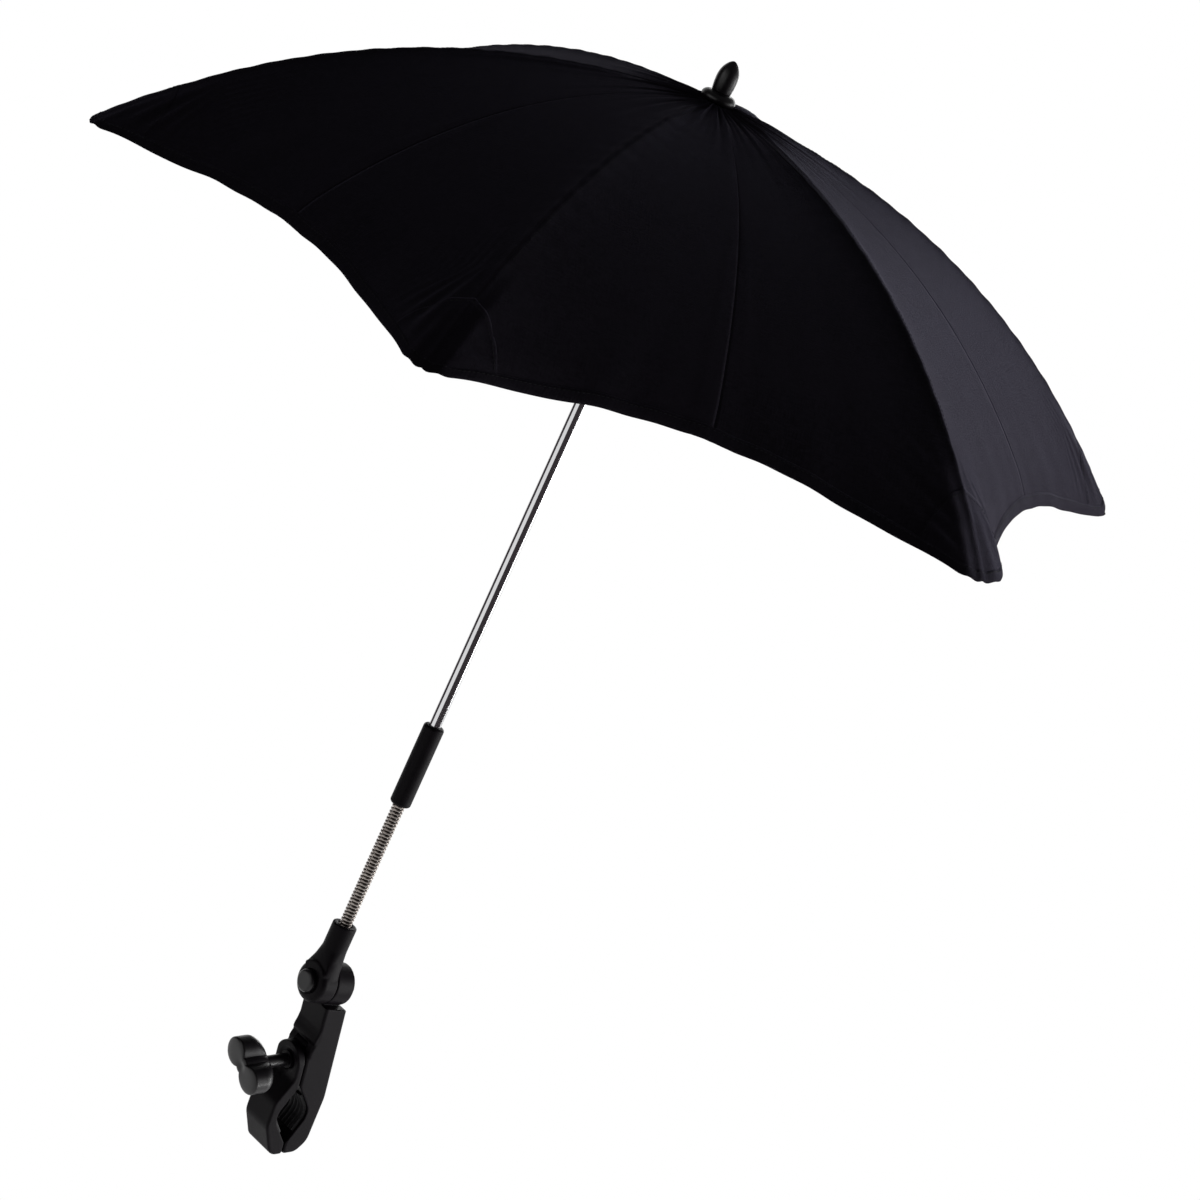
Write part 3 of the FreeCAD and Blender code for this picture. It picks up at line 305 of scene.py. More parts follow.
def drawn_steel(name, dark, light, rough, stretch, depth, **values):
    """Drawn metal or thread with fine marks: stretch is their scale along X, Y and Z."""
    made, tree, shader = new_material(name, **{"Metallic": 1.0, **values})
    place = add_node(tree, "ShaderNodeTexCoord", -950, 0)
    mapping = add_node(tree, "ShaderNodeMapping", -750, 0, Scale=stretch)
    marks = add_node(tree, "ShaderNodeGroup", -500, 0, drawn_metal)
    colour = ramp_between(tree, -200, 200, dark, light, 0.35, 0.7)
    shine = spread(tree, -200, -50, *rough)
    bump = add_node(tree, "ShaderNodeBump", 100, -250, Strength=0.2, Distance=depth)
    wire(
        tree, (place, "Object", mapping, "Vector"), (mapping, "Vector", marks, "Vector"),
        (marks, "Smudge", colour, "Fac"), (marks, "Streak", shine, "Value"),
        (marks, "Streak", bump, "Height"), (colour, "Color", shader, "Base Color"),
        (shine, "Result", shader, "Roughness"), (bump, "Normal", shader, "Normal"))
    return made


plated_steel = drawn_steel(
    "plated_steel", dark=(0.5, 0.5, 0.49), light=(0.66, 0.66, 0.65),
    rough=(0.24, 0.42), stretch=(2500.0, 350.0, 350.0), depth=0.0001)
for node in ("tilt_bolt", "jaw_hinge_pin", "clamp_nut", "screw_rod"):
    finish_node(node, plated_steel)

# Movable jaw: the front half of the clamp, the same black nylon as the body.
# A round plate at its top is dished for the screw; it swings on the pin between the body's lugs.
# Under the knob lies a black nylon washer.
front_jaw = copy_of_node("movable_jaw", "movable_jaw_moulding")
round_moulding(front_jaw, voxel=0.0004, rounds=6, material=satin_plastic)
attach(front_jaw, "front_jaw")
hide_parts("movable_jaw")
finish_node("clamp_washer", satin_plastic)

# Rubber pads of the mouth: soft black strips pushed into a recess of both jaws.
# Each is bent round its half of the mouth, and its ribs run round the mouth to grip a tube.
pad_rubber = moulded_plastic(
    "pad_rubber", dark=(0.0075, 0.0072, 0.0082), light=(0.012, 0.0116, 0.0128),
    rough=(0.6, 0.78), mirror=0.25, grain=1500.0, depth=0.0002)
MOUTH_X = -0.0045
MOUTH_DROP = 0.094
MOUTH_RADIUS = 0.012
MOUTH_HALF_ANGLE = radians(32.0)
PAD_FLANK = 0.009
PAD_WIDTH = 0.022
PAD_DEEP = 0.0018
GRIP_RIB = 0.0009
GRIP_RIBS = 6
GRIP_FULLNESS = 0.7


def mouth_place(along):
    """Place and outward way on a pad's line, from its upper end at 0 to its lower end at 1."""
    arc = MOUTH_RADIUS * MOUTH_HALF_ANGLE
    at = (2 * along - 1) * (arc + PAD_FLANK)
    turn = max(-MOUTH_HALF_ANGLE, min(MOUTH_HALF_ANGLE, -at / MOUTH_RADIUS))
    past = copysign(max(0.0, abs(at) - arc), -at)
    way = (cos(turn), sin(turn))
    return (MOUTH_RADIUS * way[0] - past * way[1], MOUTH_RADIUS * way[1] + past * way[0]), way


for node, body_name, side in (
        ("fixed_jaw_pad", "clamp_body", 1), ("movable_jaw_pad", "front_jaw", -1)):
    start_piece()
    bpy.ops.mesh.primitive_grid_add(x_subdivisions=96, y_subdivisions=40, size=1)
    pad = bpy.context.object
    pad.name = node.replace("_pad", "_grip")
    for vertex in pad.data.vertices:
        across, along = vertex.co.x, vertex.co.y + 0.5
        (out, rise), way = mouth_place(along)
        valley = 0.5 - 0.5 * cos(2 * pi * GRIP_RIBS * (across + 0.5))
        groove = GRIP_RIB * valley**GRIP_FULLNESS
        out, rise = out + way[0] * groove, rise + way[1] * groove
        vertex.co = on_clamp(MOUTH_X + side * out, across * PAD_WIDTH, rise - MOUTH_DROP)
    modify(pad, "SOLIDIFY", thickness=PAD_DEEP, offset=side)
    face_outward()
    bpy.ops.object.shade_smooth_by_angle(angle=radians(45))
    pad.data.materials.append(pad_rubber)
    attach(pad, body_name)
    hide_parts(node)

# Wing knob: two lobes on a stalk, moulded over the head of the clamp screw.
# The same nylon with a smoother skin, so that its rounded tops catch the light.
gloss_plastic = moulded_plastic(
    "gloss_plastic", dark=(0.0058, 0.0050, 0.0062), light=(0.0098, 0.0084, 0.0104),
    rough=(0.29, 0.4), mirror=0.34, grain=2600.0, depth=0.00005)
SCREW_DROP = 0.0575
KNOB_FRONT = -0.0475
KNOB_BACK = -0.0275
KNOB_FOOT = -0.0110
KNOB_WALL = 0.0105
KNOB_TURN = radians(60.0)
KNOB_LOBE = 0.0097
KNOB_REACH = 0.0108
KNOB_WAIST = 0.0062
KNOB_BLEND = 6
STALK_RADIUS = 0.0042
STALK_SIDE = 0.8
FACE_SHARE = 0.94
FACE_ROUND = 0.0009
CORNER_SHARE = 0.12
DIMPLE_DEEP = 0.0011
DIMPLE_WIDE = 0.0035
# where the face, the wall and the shoulder end, as shares of the sphere's rings from the front
FACE_END = 0.3
WALL_END = 0.72
SHOULDER_END = 0.92


def bell(off, width):
    """1 in the middle, falling away on both sides over a width."""
    return exp(-(off / width) ** 2)


def knob_reach(turn):
    """Distance of the bow-tie outline from the screw, in a direction seen along it."""
    side, rise = abs(sin(turn)), abs(cos(turn))
    off = KNOB_REACH * side
    lobe = 0.0
    if off < KNOB_LOBE:
        lobe = KNOB_REACH * rise + sqrt(KNOB_LOBE**2 - off**2)
    return (lobe**KNOB_BLEND + KNOB_WAIST**KNOB_BLEND) ** (1 / KNOB_BLEND)


start_piece()
bpy.ops.mesh.primitive_uv_sphere_add(segments=96, ring_count=56, radius=1)
knob = bpy.context.object
knob.name = "wing_knob_moulding"
for vertex in knob.data.vertices:
    turn = atan2(vertex.co.y, vertex.co.x)
    along = acos(max(-1.0, min(1.0, vertex.co.z))) / pi
    full = knob_reach(turn)
    if along < FACE_END:
        face = along / FACE_END
        reach = full * face * FACE_SHARE
        depth = FACE_ROUND * face**6 + DIMPLE_DEEP * bell(full * face, DIMPLE_WIDE)
    elif along < WALL_END:
        wall = (along - FACE_END) / (WALL_END - FACE_END)
        corner = min(1.0, wall / CORNER_SHARE)
        reach = full * (FACE_SHARE + (1 - FACE_SHARE) * sin(corner * pi / 2))
        depth = FACE_ROUND + (KNOB_WALL - FACE_ROUND) * wall
    elif along < SHOULDER_END:
        round_off = (along - WALL_END) / (SHOULDER_END - WALL_END) * pi / 2
        reach = STALK_RADIUS + (full - STALK_RADIUS) * cos(round_off)
        depth = KNOB_WALL + (KNOB_BACK - KNOB_FRONT - KNOB_WALL) * sin(round_off)
    else:
        stalk = (along - SHOULDER_END) / (1 - SHOULDER_END)
        reach = STALK_RADIUS * min(1.0, (1 - stalk) / (1 - STALK_SIDE))
        depth = KNOB_BACK - KNOB_FRONT + (KNOB_FOOT - KNOB_BACK) * min(1.0, stalk / STALK_SIDE)
    way = turn + KNOB_TURN
    vertex.co = on_clamp(
        KNOB_FRONT + depth, reach * sin(way), reach * cos(way) - SCREW_DROP)
face_outward()
bpy.ops.object.shade_smooth_by_angle(angle=radians(40))
knob.data.materials.append(gloss_plastic)
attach(knob, "clamp_screw")
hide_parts("wing_knob")

# Tilt socket and its push button: the round neck that holds the gooseneck flares into the front
# disc of the hinge. The button is pressed to free the tilt, and a small coil pushes it back.
NECK_RADIUS = 0.0083
FLARE_TOP = 0.025
FLARE_RADIUS = 0.0112
FLARE_DEPTH = 0.0122
FLARE_FORWARD = 0.0019
DISC_RADIUS = 0.014
DISC_ROUND = 0.0045
# above this rise of the direction the disc's rounding runs out, at this rate
RUN_OUT_FROM = 0.6
RUN_OUT_RATE = 0.06
NEAR_AXIS = 0.001
neck = copy_of_node("socket", "socket_moulding")
start_piece()
bpy.ops.mesh.primitive_cylinder_add(
    vertices=48, radius=FLARE_RADIUS, depth=FLARE_DEPTH, rotation=(0, pi / 2, 0))
flare = bpy.context.object
flare.location = HINGE + Vector((-FLARE_FORWARD, 0, 0))
bpy.ops.object.transform_apply(location=True, rotation=True)
start_piece()
bpy.ops.mesh.primitive_circle_add(
    vertices=48, radius=NECK_RADIUS, location=HINGE + Vector((0, 0, FLARE_TOP)))
rim = bpy.context.object
bpy.ops.object.transform_apply(location=True)
join_forms(flare, rim)
edit_all()
bpy.ops.mesh.convex_hull()
face_outward()
join_forms(neck, flare)
round_moulding(neck, voxel=0.0004, rounds=10, material=satin_plastic)
# the disc's front edge is well rounded, and the rounding runs out in the flare
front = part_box("socket")[0].x
for vertex in neck.data.vertices:
    off = vertex.co - HINGE
    depth = min(DISC_ROUND, max(0.0, vertex.co.x - front))
    reach = hypot(off.y, off.z)
    limit = DISC_RADIUS - DISC_ROUND + sqrt(DISC_ROUND**2 - (DISC_ROUND - depth) ** 2)
    limit += RUN_OUT_RATE * max(0.0, off.z / max(reach, NEAR_AXIS) - RUN_OUT_FROM)
    if depth < DISC_ROUND and off.z < DISC_RADIUS and reach > limit:
        vertex.co.y = HINGE.y + off.y * limit / reach
        vertex.co.z = HINGE.z + off.z * limit / reach
take_up(neck)
edit_all()
bpy.ops.mesh.vertices_smooth(factor=0.5, repeat=8)
bpy.ops.object.mode_set(mode="OBJECT")
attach(neck, "tilt_socket")
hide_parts("socket")
finish_node("tilt_button", gloss_plastic)
button_coil = copy_of_node("button_spring", "button_spring_coil")
bpy.ops.object.shade_smooth_by_angle(angle=radians(50))
button_coil.data.materials.append(plated_steel)
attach(button_coil, "tilt_socket")
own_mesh(button_coil)
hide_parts("button_spring")

# Gooseneck: a steel coil wound with a small gap between its turns, over a jointed core.
# It is made in six lengths, each over one joint of the core, and they meet turn to turn.
NECK_WIRE = 0.0015
NECK_MEAN = 0.00355
NECK_PITCH = 0.0024
WIRE_FLAT = 1.34
NECK_JOINTS = 6
WIRE_SIDES = 14
TURN_STEPS = 28
coil_low, coil_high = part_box("gooseneck_spring")
shaft_x = (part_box("sleeve")[0].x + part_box("sleeve")[1].x) / 2
neck_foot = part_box("socket")[1].z
neck_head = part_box("sleeve")[0].z
link_height = (neck_head - neck_foot) / NECK_JOINTS
neck_cuts = [coil_low.z + NECK_WIRE / 2]
neck_cuts += [neck_foot + link_height * i for i in range(1, NECK_JOINTS)]
neck_cuts += [coil_high.z - NECK_WIRE / 2]

coil_steel = drawn_steel(
    "coil_steel", dark=(0.2, 0.175, 0.16), light=(0.33, 0.3, 0.275),
    rough=(0.2, 0.34), stretch=(900.0, 900.0, 4000.0), depth=0.00004)


def close_ends(smooth_angle):
    """Merges the active piece's seam, closes its open ends and points its faces outward."""
    edit_all()
    bpy.ops.mesh.remove_doubles(threshold=1e-6)
    bpy.ops.mesh.fill_holes(sides=0)
    face_outward()
    bpy.ops.object.shade_smooth_by_angle(angle=radians(smooth_angle))


for i in range(NECK_JOINTS):
    low, high = neck_cuts[i], neck_cuts[i + 1]
    start_piece()
    bpy.ops.mesh.primitive_circle_add(
        vertices=WIRE_SIDES, radius=NECK_WIRE / 2, rotation=(pi / 2, 0, 0))
    length = bpy.context.object
    length.name = f"gooseneck_{i + 1}"
    bpy.ops.object.transform_apply(rotation=True)
    bpy.ops.object.mode_set(mode="EDIT")
    bpy.ops.transform.resize(value=(1, 1, WIRE_FLAT))
    bpy.ops.transform.translate(value=(NECK_MEAN, 0, 0))
    bpy.ops.object.mode_set(mode="OBJECT")
    turns = (high - low) / NECK_PITCH
    steps = round(turns * TURN_STEPS)
    modify(
        length, "SCREW", angle=2 * pi * turns, screw_offset=high - low, steps=steps,
        render_steps=steps)
    length.rotation_euler.z = 2 * pi * (low - neck_cuts[0]) / NECK_PITCH
    length.location = (shaft_x, 0, low)
    bpy.ops.object.transform_apply(location=True, rotation=True)
    close_ends(50)
    length.data.materials.append(coil_steel)
    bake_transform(length)
    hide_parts("gooseneck_spring")

core_steel = drawn_steel(
    "core_steel", dark=(0.05, 0.048, 0.046), light=(0.09, 0.087, 0.083),
    rough=(0.35, 0.5), stretch=(900.0, 900.0, 300.0), depth=0.0001)
for i in range(NECK_JOINTS + 1):
    finish_node(f"neck_core_{i + 1}", core_steel)

# Sleeve: the black nylon moulding that joins the gooseneck to the shaft tube.
# It is a plain tube, pressed over the ends of both.
finish_node("sleeve", satin_plastic)

# Shaft tube: thin steel tube, polished and chromed, with the faint lines of its drawing.
# The runner slides on it, and the crown is fixed on its upper end.
chrome_tube = drawn_steel(
    "chrome_tube", dark=(0.6, 0.6, 0.61), light=(0.74, 0.74, 0.75),
    rough=(0.05, 0.11), stretch=(1800.0, 1800.0, 12.0), depth=0.000004)
finish_node("shaft_tube", chrome_tube)

# Catch: a bent leaf of spring steel in the tube, whose nose holds the runner up.
# It is pressed into the tube to let the runner down.
finish_node("catch_leaf", plated_steel)

# Runner, crown and their rings of wire: black nylon mouldings, slotted for stretchers and ribs.
# The rings of plated wire are the pins on which the stretchers and the ribs turn.
for node in ("runner", "crown"):
    finish_node(node, satin_plastic)
for node in ("runner_wire", "crown_wire"):
    finish_node(node, plated_steel)

# Ribs, stretchers and rivets: rolled steel, zinc plated, six of each.
# Each stretcher has a fork that sits over its rib and is held there by a rivet.
RIBS = 6
rib_steel = drawn_steel(
    "rib_steel", dark=(0.36, 0.37, 0.38), light=(0.52, 0.53, 0.54),
    rough=(0.28, 0.45), stretch=(500.0, 500.0, 500.0), depth=0.0001)
for i in range(RIBS):
    for node in ("rib", "stretcher", "rib_rivet"):
        finish_node(f"{node}_{i + 1}", rib_steel)

# Rib tips: small black nylon caps, pressed on the ends of the ribs.
# They hold the corners of the cloth out.
for i in range(RIBS):
    finish_node(f"rib_tip_{i + 1}", satin_plastic)

# Canopy: six gores of black woven polyester, sewn together along the ribs and stretched by them.
# It is made in six panels, one about each rib, which meet at the faint crease in a gore's middle,
# so that the cloth folds in with its rib. The hem is hollow between ribs and round at each corner.
GORE_HALF = pi / RIBS
CLOTH_ARC = 0.485
CLOTH_THICK = 0.0004
CLOTH_BORE = 0.005
HEM_TIP = 0.3525
HEM_CORNER = 0.022
HEM_MIDDLE = 0.283
GORE_SAG = 0.005
HEM_DROOP = 0.0042
CORNER_PUFF = 0.0065
# one corner has slipped in along its rib, and one is pulled sideways
CORNER_SLIP = {6: 0.0105}
SLIP_LONG = 0.025
SLIP_WIDE = 0.014
CORNER_LOBE = {5: 0.010}
LOBE_LONG = 0.035
LOBE_WIDE = 0.013
LOBE_OFF = 0.02
# heights of the small folds, and how wide each is or how far it runs
RIDGE_RISE, RIDGE_WIDE = 0.0005, 0.0034
SEAM_SINK, SEAM_WIDE = 0.00045, 0.0008
STRIP_SINK, STRIP_WIDE = 0.0018, 0.01
CREASE_SINK, CREASE_WIDE = 0.0002, 0.0025
FAN_RISE, FAN_WIDE, FAN_OFF = 0.00012, 0.0024, 0.012
GATHER_RISE, GATHER_FULL, GATHER_RUN = 0.0010, 0.014, 0.026
PLEAT_RISE = (0.0006, 0.0004, 0.0006, 0.0003, 0.0015, 0.0008)
PLEAT_WIDE, PLEAT_OFF = 0.0028, 0.0055
PUCKER_RISE, PUCKER_WIDE = 0.0002, 0.009
RIPPLE_RISE, RIPPLE_RUN = 0.0003, 0.03
CORNER_LONG, CORNER_WIDE, CORNER_MEAN = 0.05, 0.045, 0.65
RAY_POINT, RAY_LEAST = 0.085, 0.02
HANG_RUN = 0.0168
# where each fold sets in or ends: nothing at the first distance, all at the second
CROWN_CLEAR = (0.03, 0.1)
FAN_OPENS, FAN_STARTS = (0.1, 0.28), (0.12, 0.2)
GATHER_STARTS = (0.007, 0.016)
PLEAT_STARTS, PLEAT_ENDS = (0.016, 0.04), (0.08, 0.22)
RIPPLE_STARTS = (0.05, 0.2)
PUFF_STARTS, WRINKLE_STARTS = (0.0, 0.011), (0.003, 0.02)
RAY_HEM, CROSS_HEM = (0.0, 0.022), (0.0, 0.014)
DROOP_STARTS = (0.012, 0.06)
# waves of the folds: height or share, pace round the canopy, start, length along the cloth
QUARTER = pi / 2
GATHER_WAVES = ((1.0, 36, 0.6 + QUARTER, 1), (0.7, 54, 2.0 + QUARTER, 1), (0.4, 84, QUARTER, 1))
PUCKER_WAVES = ((1.0, 9, 0.0, 0.0023), (0.7, 5, 0.0, 0.0041))
RIPPLE_WAVES = ((1.0, 30, 1.1 + QUARTER, 1), (0.8, 54, 0.4 + QUARTER, 1))
CORNER_WAVES = ((0.35, 7, 0.9, 1),)
RAY_WAVES = ((0.0023, 25, 0.5, 1),)
CROSS_WAVES = ((0.0009, 40, 0.0, 0.0021), (0.0011, 20, 1.0, 0.0052))
PANEL_COLUMNS = 176
PANEL_ROWS = 112
COLUMN_CROWD = 1.25
cloth_top = 0.720381477
corner_centre = HEM_TIP - HEM_CORNER
corner_cos = corner_centre * cos(GORE_HALF)
scallop_radius = (
    (HEM_CORNER**2 - corner_centre**2 - HEM_MIDDLE**2 + 2 * corner_cos * HEM_MIDDLE)
    / (2 * (HEM_MIDDLE - corner_cos - HEM_CORNER)))
scallop_centre = HEM_MIDDLE + scallop_radius
touch_x = corner_centre + HEM_CORNER * (
    (scallop_centre * cos(GORE_HALF) - corner_centre) / (scallop_radius + HEM_CORNER))
touch_y = HEM_CORNER * scallop_centre * sin(GORE_HALF) / (scallop_radius + HEM_CORNER)
touch_angle = atan2(touch_y, touch_x)


def hem_distance(angle):
    """Plan distance of the hem from the shaft, at an angle from the rib."""
    angle = abs(angle)
    if angle < touch_angle:
        sideways = corner_centre * sin(angle)
        return corner_centre * cos(angle) + sqrt(HEM_CORNER**2 - sideways**2)
    off_middle = GORE_HALF - angle
    sideways = scallop_centre * sin(off_middle)
    return scallop_centre * cos(off_middle) - sqrt(scallop_radius**2 - sideways**2)


def smooth_step(low, high, value):
    """0 below low, 1 above high, smooth between."""
    t = min(1.0, max(0.0, (value - low) / (high - low)))
    return t * t * (3 - 2 * t)


def fade(off, run):
    """1 at the start, fading away over a run."""
    return exp(-off / run)


def waves(rows, turn, along=0.0):
    """A sum of waves round the canopy, which may lean along the cloth."""
    return sum(
        share * sin(pace * turn + start + along / length)
        for share, pace, start, length in rows)


def cloth_lift(turn, angle, plan):
    """Small folds of the cloth above its stretched form, for a place round the whole canopy."""
    from_rib = plan * sin(abs(angle))
    from_middle = plan * sin(GORE_HALF - abs(angle))
    to_hem = hem_distance(angle) - plan
    out = smooth_step(*CROWN_CLEAR, plan)
    seam = RIDGE_RISE * bell(from_rib, RIDGE_WIDE) - SEAM_SINK * bell(from_rib, SEAM_WIDE)
    strip = -STRIP_SINK * (1 - fade(from_rib, STRIP_WIDE))
    crease = -CREASE_SINK * fade(from_middle, CREASE_WIDE)
    pucker = PUCKER_RISE * fade(from_rib, PUCKER_WIDE) * waves(PUCKER_WAVES, turn, plan)
    lift = (seam + strip + crease + pucker) * out
    fan = from_middle - FAN_OFF * smooth_step(*FAN_OPENS, plan)
    lift += FAN_RISE * bell(fan, FAN_WIDE) * smooth_step(*FAN_STARTS, plan)
    gather = GATHER_RISE * fade(max(0.0, plan - GATHER_FULL), GATHER_RUN)
    lift += gather * smooth_step(*GATHER_STARTS, plan) * waves(GATHER_WAVES, turn)
    if angle > 0:
        pleat = PLEAT_RISE[int(turn / (2 * GORE_HALF)) % RIBS]
        pleat *= bell(from_rib - PLEAT_OFF, PLEAT_WIDE)
        lift += pleat * smooth_step(*PLEAT_STARTS, plan) * (1 - smooth_step(*PLEAT_ENDS, plan))
    ripple = RIPPLE_RISE * fade(to_hem, RIPPLE_RUN) * smooth_step(*RIPPLE_STARTS, abs(angle))
    lift += ripple * waves(RIPPLE_WAVES, turn)
    corner = bell(HEM_TIP - plan, CORNER_LONG) * bell(from_rib, CORNER_WIDE)
    lift += CORNER_PUFF * corner * smooth_step(*PUFF_STARTS, from_rib)
    corner *= smooth_step(*WRINKLE_STARTS, from_rib) * (CORNER_MEAN + waves(CORNER_WAVES, turn))
    if round(turn / (2 * GORE_HALF)) % 2:
        ray = from_rib / max(RAY_LEAST, plan - HEM_TIP + RAY_POINT)
        lift += corner * waves(RAY_WAVES, ray) * smooth_step(*RAY_HEM, to_hem)
    else:
        lift += corner * waves(CROSS_WAVES, turn, to_hem) * smooth_step(*CROSS_HEM, to_hem)
    hang = max(0.0, 1 - to_hem / HANG_RUN)
    return lift - HEM_DROOP * smooth_step(*DROOP_STARTS, from_rib) * hang**2


def cloth_point(rib, angle, plan):
    """Point of the cloth's upper side, by its rib, its angle from the rib and its plan distance."""
    hem = hem_distance(angle)
    share = (plan - CLOTH_BORE) / (hem - CLOTH_BORE)
    lobe = CORNER_LOBE.get(rib, 0.0)
    lobe *= bell(hem - plan, LOBE_LONG) * bell(plan * angle - LOBE_OFF, LOBE_WIDE)
    slip = CORNER_SLIP.get(rib, 0.0) * bell(hem - plan, SLIP_LONG) * bell(plan * angle, SLIP_WIDE)
    turn = (rib - 0.5) * 2 * GORE_HALF + angle
    lift = cloth_lift(turn, angle, plan)
    plan -= slip
    half_left = GORE_HALF - abs(angle)
    on_chord = plan * cos(half_left) / cos(GORE_HALF)
    across = tan(half_left) / tan(GORE_HALF)
    sag = GORE_SAG * (1 - across**2) * share**2
    height = cloth_top - CLOTH_ARC + sqrt(CLOTH_ARC**2 - on_chord**2) - sag + lift
    return Vector((
        shaft_x + plan * cos(turn) - lobe * sin(turn),
        plan * sin(turn) + lobe * cos(turn), height))


# threads over and under each other, thicker in places, on the cloth's own map
plain_weave, weave_in, weave_out = new_group(
    "plain_weave",
    [("Map", "NodeSocketVector", None), ("Threads", "NodeSocketFloat", 2200.0)],
    ["Height", "Slub", "Fade"])
crossing = math_node(plain_weave, "MULTIPLY", 0, 200)
slubs = math_node(plain_weave, "MULTIPLY", 0, -300)
fade_noise = add_node(plain_weave, "ShaderNodeTexNoise", -300, -700, Scale=14.0, Detail=4.0)
for k, way, stretch in ((0, "X", (1000.0, 180.0, 1.0)), (1, "Y", (180.0, 1000.0, 1.0))):
    thread = add_node(
        plain_weave, "ShaderNodeTexWave", -300, 300 - 250 * k, Distortion=0.6, Detail=1.0)
    thread.bands_direction = way
    run = add_node(plain_weave, "ShaderNodeMapping", -500, -200 - 250 * k, Scale=stretch)
    slub = add_node(plain_weave, "ShaderNodeTexNoise", -300, -200 - 250 * k, Scale=1.0, Detail=2.0)
    wire(
        plain_weave, (weave_in, "Map", thread, "Vector"), (weave_in, "Threads", thread, "Scale"),
        (thread, "Fac", crossing, k), (weave_in, "Map", run, "Vector"),
        (run, "Vector", slub, "Vector"), (slub, "Fac", slubs, k))
wire(
    plain_weave, (weave_in, "Map", fade_noise, "Vector"), (crossing, "Value", weave_out, "Height"),
    (slubs, "Value", weave_out, "Slub"), (fade_noise, "Fac", weave_out, "Fade"))


def woven_cloth(name, dark, light, sheen, threads):
    """Woven cloth on the piece's UV map, in metres."""
    made, tree, shader = new_material(
        name, Sheen_Weight=sheen, Sheen_Roughness=0.45, Sheen_Tint=(0.72, 0.70, 0.95, 1),
        Specular_IOR_Level=0.004)
    place = add_node(tree, "ShaderNodeTexCoord", -700, 0)
    weave = add_node(tree, "ShaderNodeGroup", -450, 0, plain_weave, Threads=threads)
    tone = math_node(tree, "MULTIPLY_ADD", -250, 200, 1.4)
    colour = ramp_between(tree, -50, 200, dark, light, 0.3, 1.2 / 1.4)
    shine = spread(tree, -50, -50, 0.62, 0.8)
    heights = math_node(tree, "MULTIPLY_ADD", -250, -250, 0.12)
    bump = add_node(tree, "ShaderNodeBump", 100, -250, Strength=0.4, Distance=0.0012)
    wire(
        tree, (place, "UV", weave, "Map"), (weave, "Slub", tone, 0), (weave, "Fade", tone, 2),
        (tone, "Value", colour, "Fac"), (weave, "Fade", shine, "Value"),
        (weave, "Height", heights, 0), (weave, "Slub", heights, 2),
        (heights, "Value", bump, "Height"), (colour, "Color", shader, "Base Color"),
        (shine, "Result", shader, "Roughness"), (bump, "Normal", shader, "Normal"))
    return made


canopy_cloth = woven_cloth(
    "canopy_cloth", dark=(0.0066, 0.0056, 0.0075), light=(0.0165, 0.0141, 0.0190),
    sheen=0.2, threads=1900.0)
# the underside is the same cloth with a darker colour and little sheen: painted shade under the
# canopy
canopy_inside_painted_shade = woven_cloth(
    "canopy_inside_painted_shade", dark=(0.005, 0.005, 0.0058), light=(0.009, 0.009, 0.0104),
    sheen=0.02, threads=1900.0)


def cloth_grid(name, columns, rows, place):
    """A flat grid laid on the cloth: place gives a point and its map position for across, along."""
    start_piece()
    bpy.ops.mesh.primitive_grid_add(x_subdivisions=columns, y_subdivisions=rows, size=1)
    piece = bpy.context.object
    piece.name = name
    flat_map = []
    for vertex in piece.data.vertices:
        vertex.co, on_map = place(vertex.co.x + 0.5, vertex.co.y + 0.5)
        flat_map.append(on_map)
    for loop in piece.data.loops:
        piece.data.uv_layers.active.data[loop.index].uv = flat_map[loop.vertex_index]
    bpy.ops.object.shade_smooth()
    return piece


def weave_map(angle, plan):
    """Place on the gore that was cut from the roll, with its threads along the gore's middle."""
    off_middle = copysign(GORE_HALF - abs(angle), angle)
    return plan * sin(off_middle) + 3 * copysign(1, angle), plan * cos(off_middle)


def fold_in(piece, rib):
    """A piece of the cloth rides on its rib and stands for its panel."""
    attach(piece, f"rib_arm_{rib}")
    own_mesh(piece)
    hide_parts(f"canopy_panel_{rib}")


for rib in range(1, RIBS + 1):
    def lay_panel(across, along):
        side = 1 - 2 * across
        angle = GORE_HALF * copysign(abs(side) ** COLUMN_CROWD, side)
        plan = CLOTH_BORE + (hem_distance(angle) - CLOTH_BORE) * along
        return cloth_point(rib, angle, plan), weave_map(angle, plan)

    panel = cloth_grid(f"canopy_cloth_{rib}", PANEL_COLUMNS, PANEL_ROWS, lay_panel)
    panel.data.materials.append(canopy_cloth)
    # the underside takes the darker copy of the cloth, which is painted shade
    panel.data.materials.append(canopy_inside_painted_shade)
    modify(panel, "SOLIDIFY", thickness=CLOTH_THICK, offset=-1, material_offset=1)
    fold_in(panel, rib)

# Hem binding: a narrow black tape folded over the raw edge of the cloth and sewn through.
# It runs round the whole hem, in one length for each panel.
TAPE_WIDTH = 0.0046
TAPE_ROUND = 0.3
TAPE_COLUMNS = 220
TAPE_PROFILE = (
    (0.0047, -0.0001), (0.0045, 0.00028), (0.0031, 0.00042), (0.0013, 0.00046),
    (0.0001, 0.00032), (-0.0006, -0.0002), (0.0001, -0.00075), (0.0013, -0.0009),
    (0.0031, -0.00086), (0.0045, -0.0007), (0.0047, -0.0003))


def cloth_frame(rib, angle, plan):
    """Place on the cloth with the way inward along the cloth and the way out of it."""
    nudge = 0.0006
    place = cloth_point(rib, angle, plan)
    inward = (cloth_point(rib, angle, plan - nudge) - place).normalized()
    sideways = cloth_point(rib, angle + nudge / plan, plan - nudge / 2)
    sideways -= cloth_point(rib, angle - nudge / plan, plan - nudge / 2)
    outward = inward.cross(sideways).normalized()
    if outward.z < 0:
        outward.negate()
    return place, inward, outward


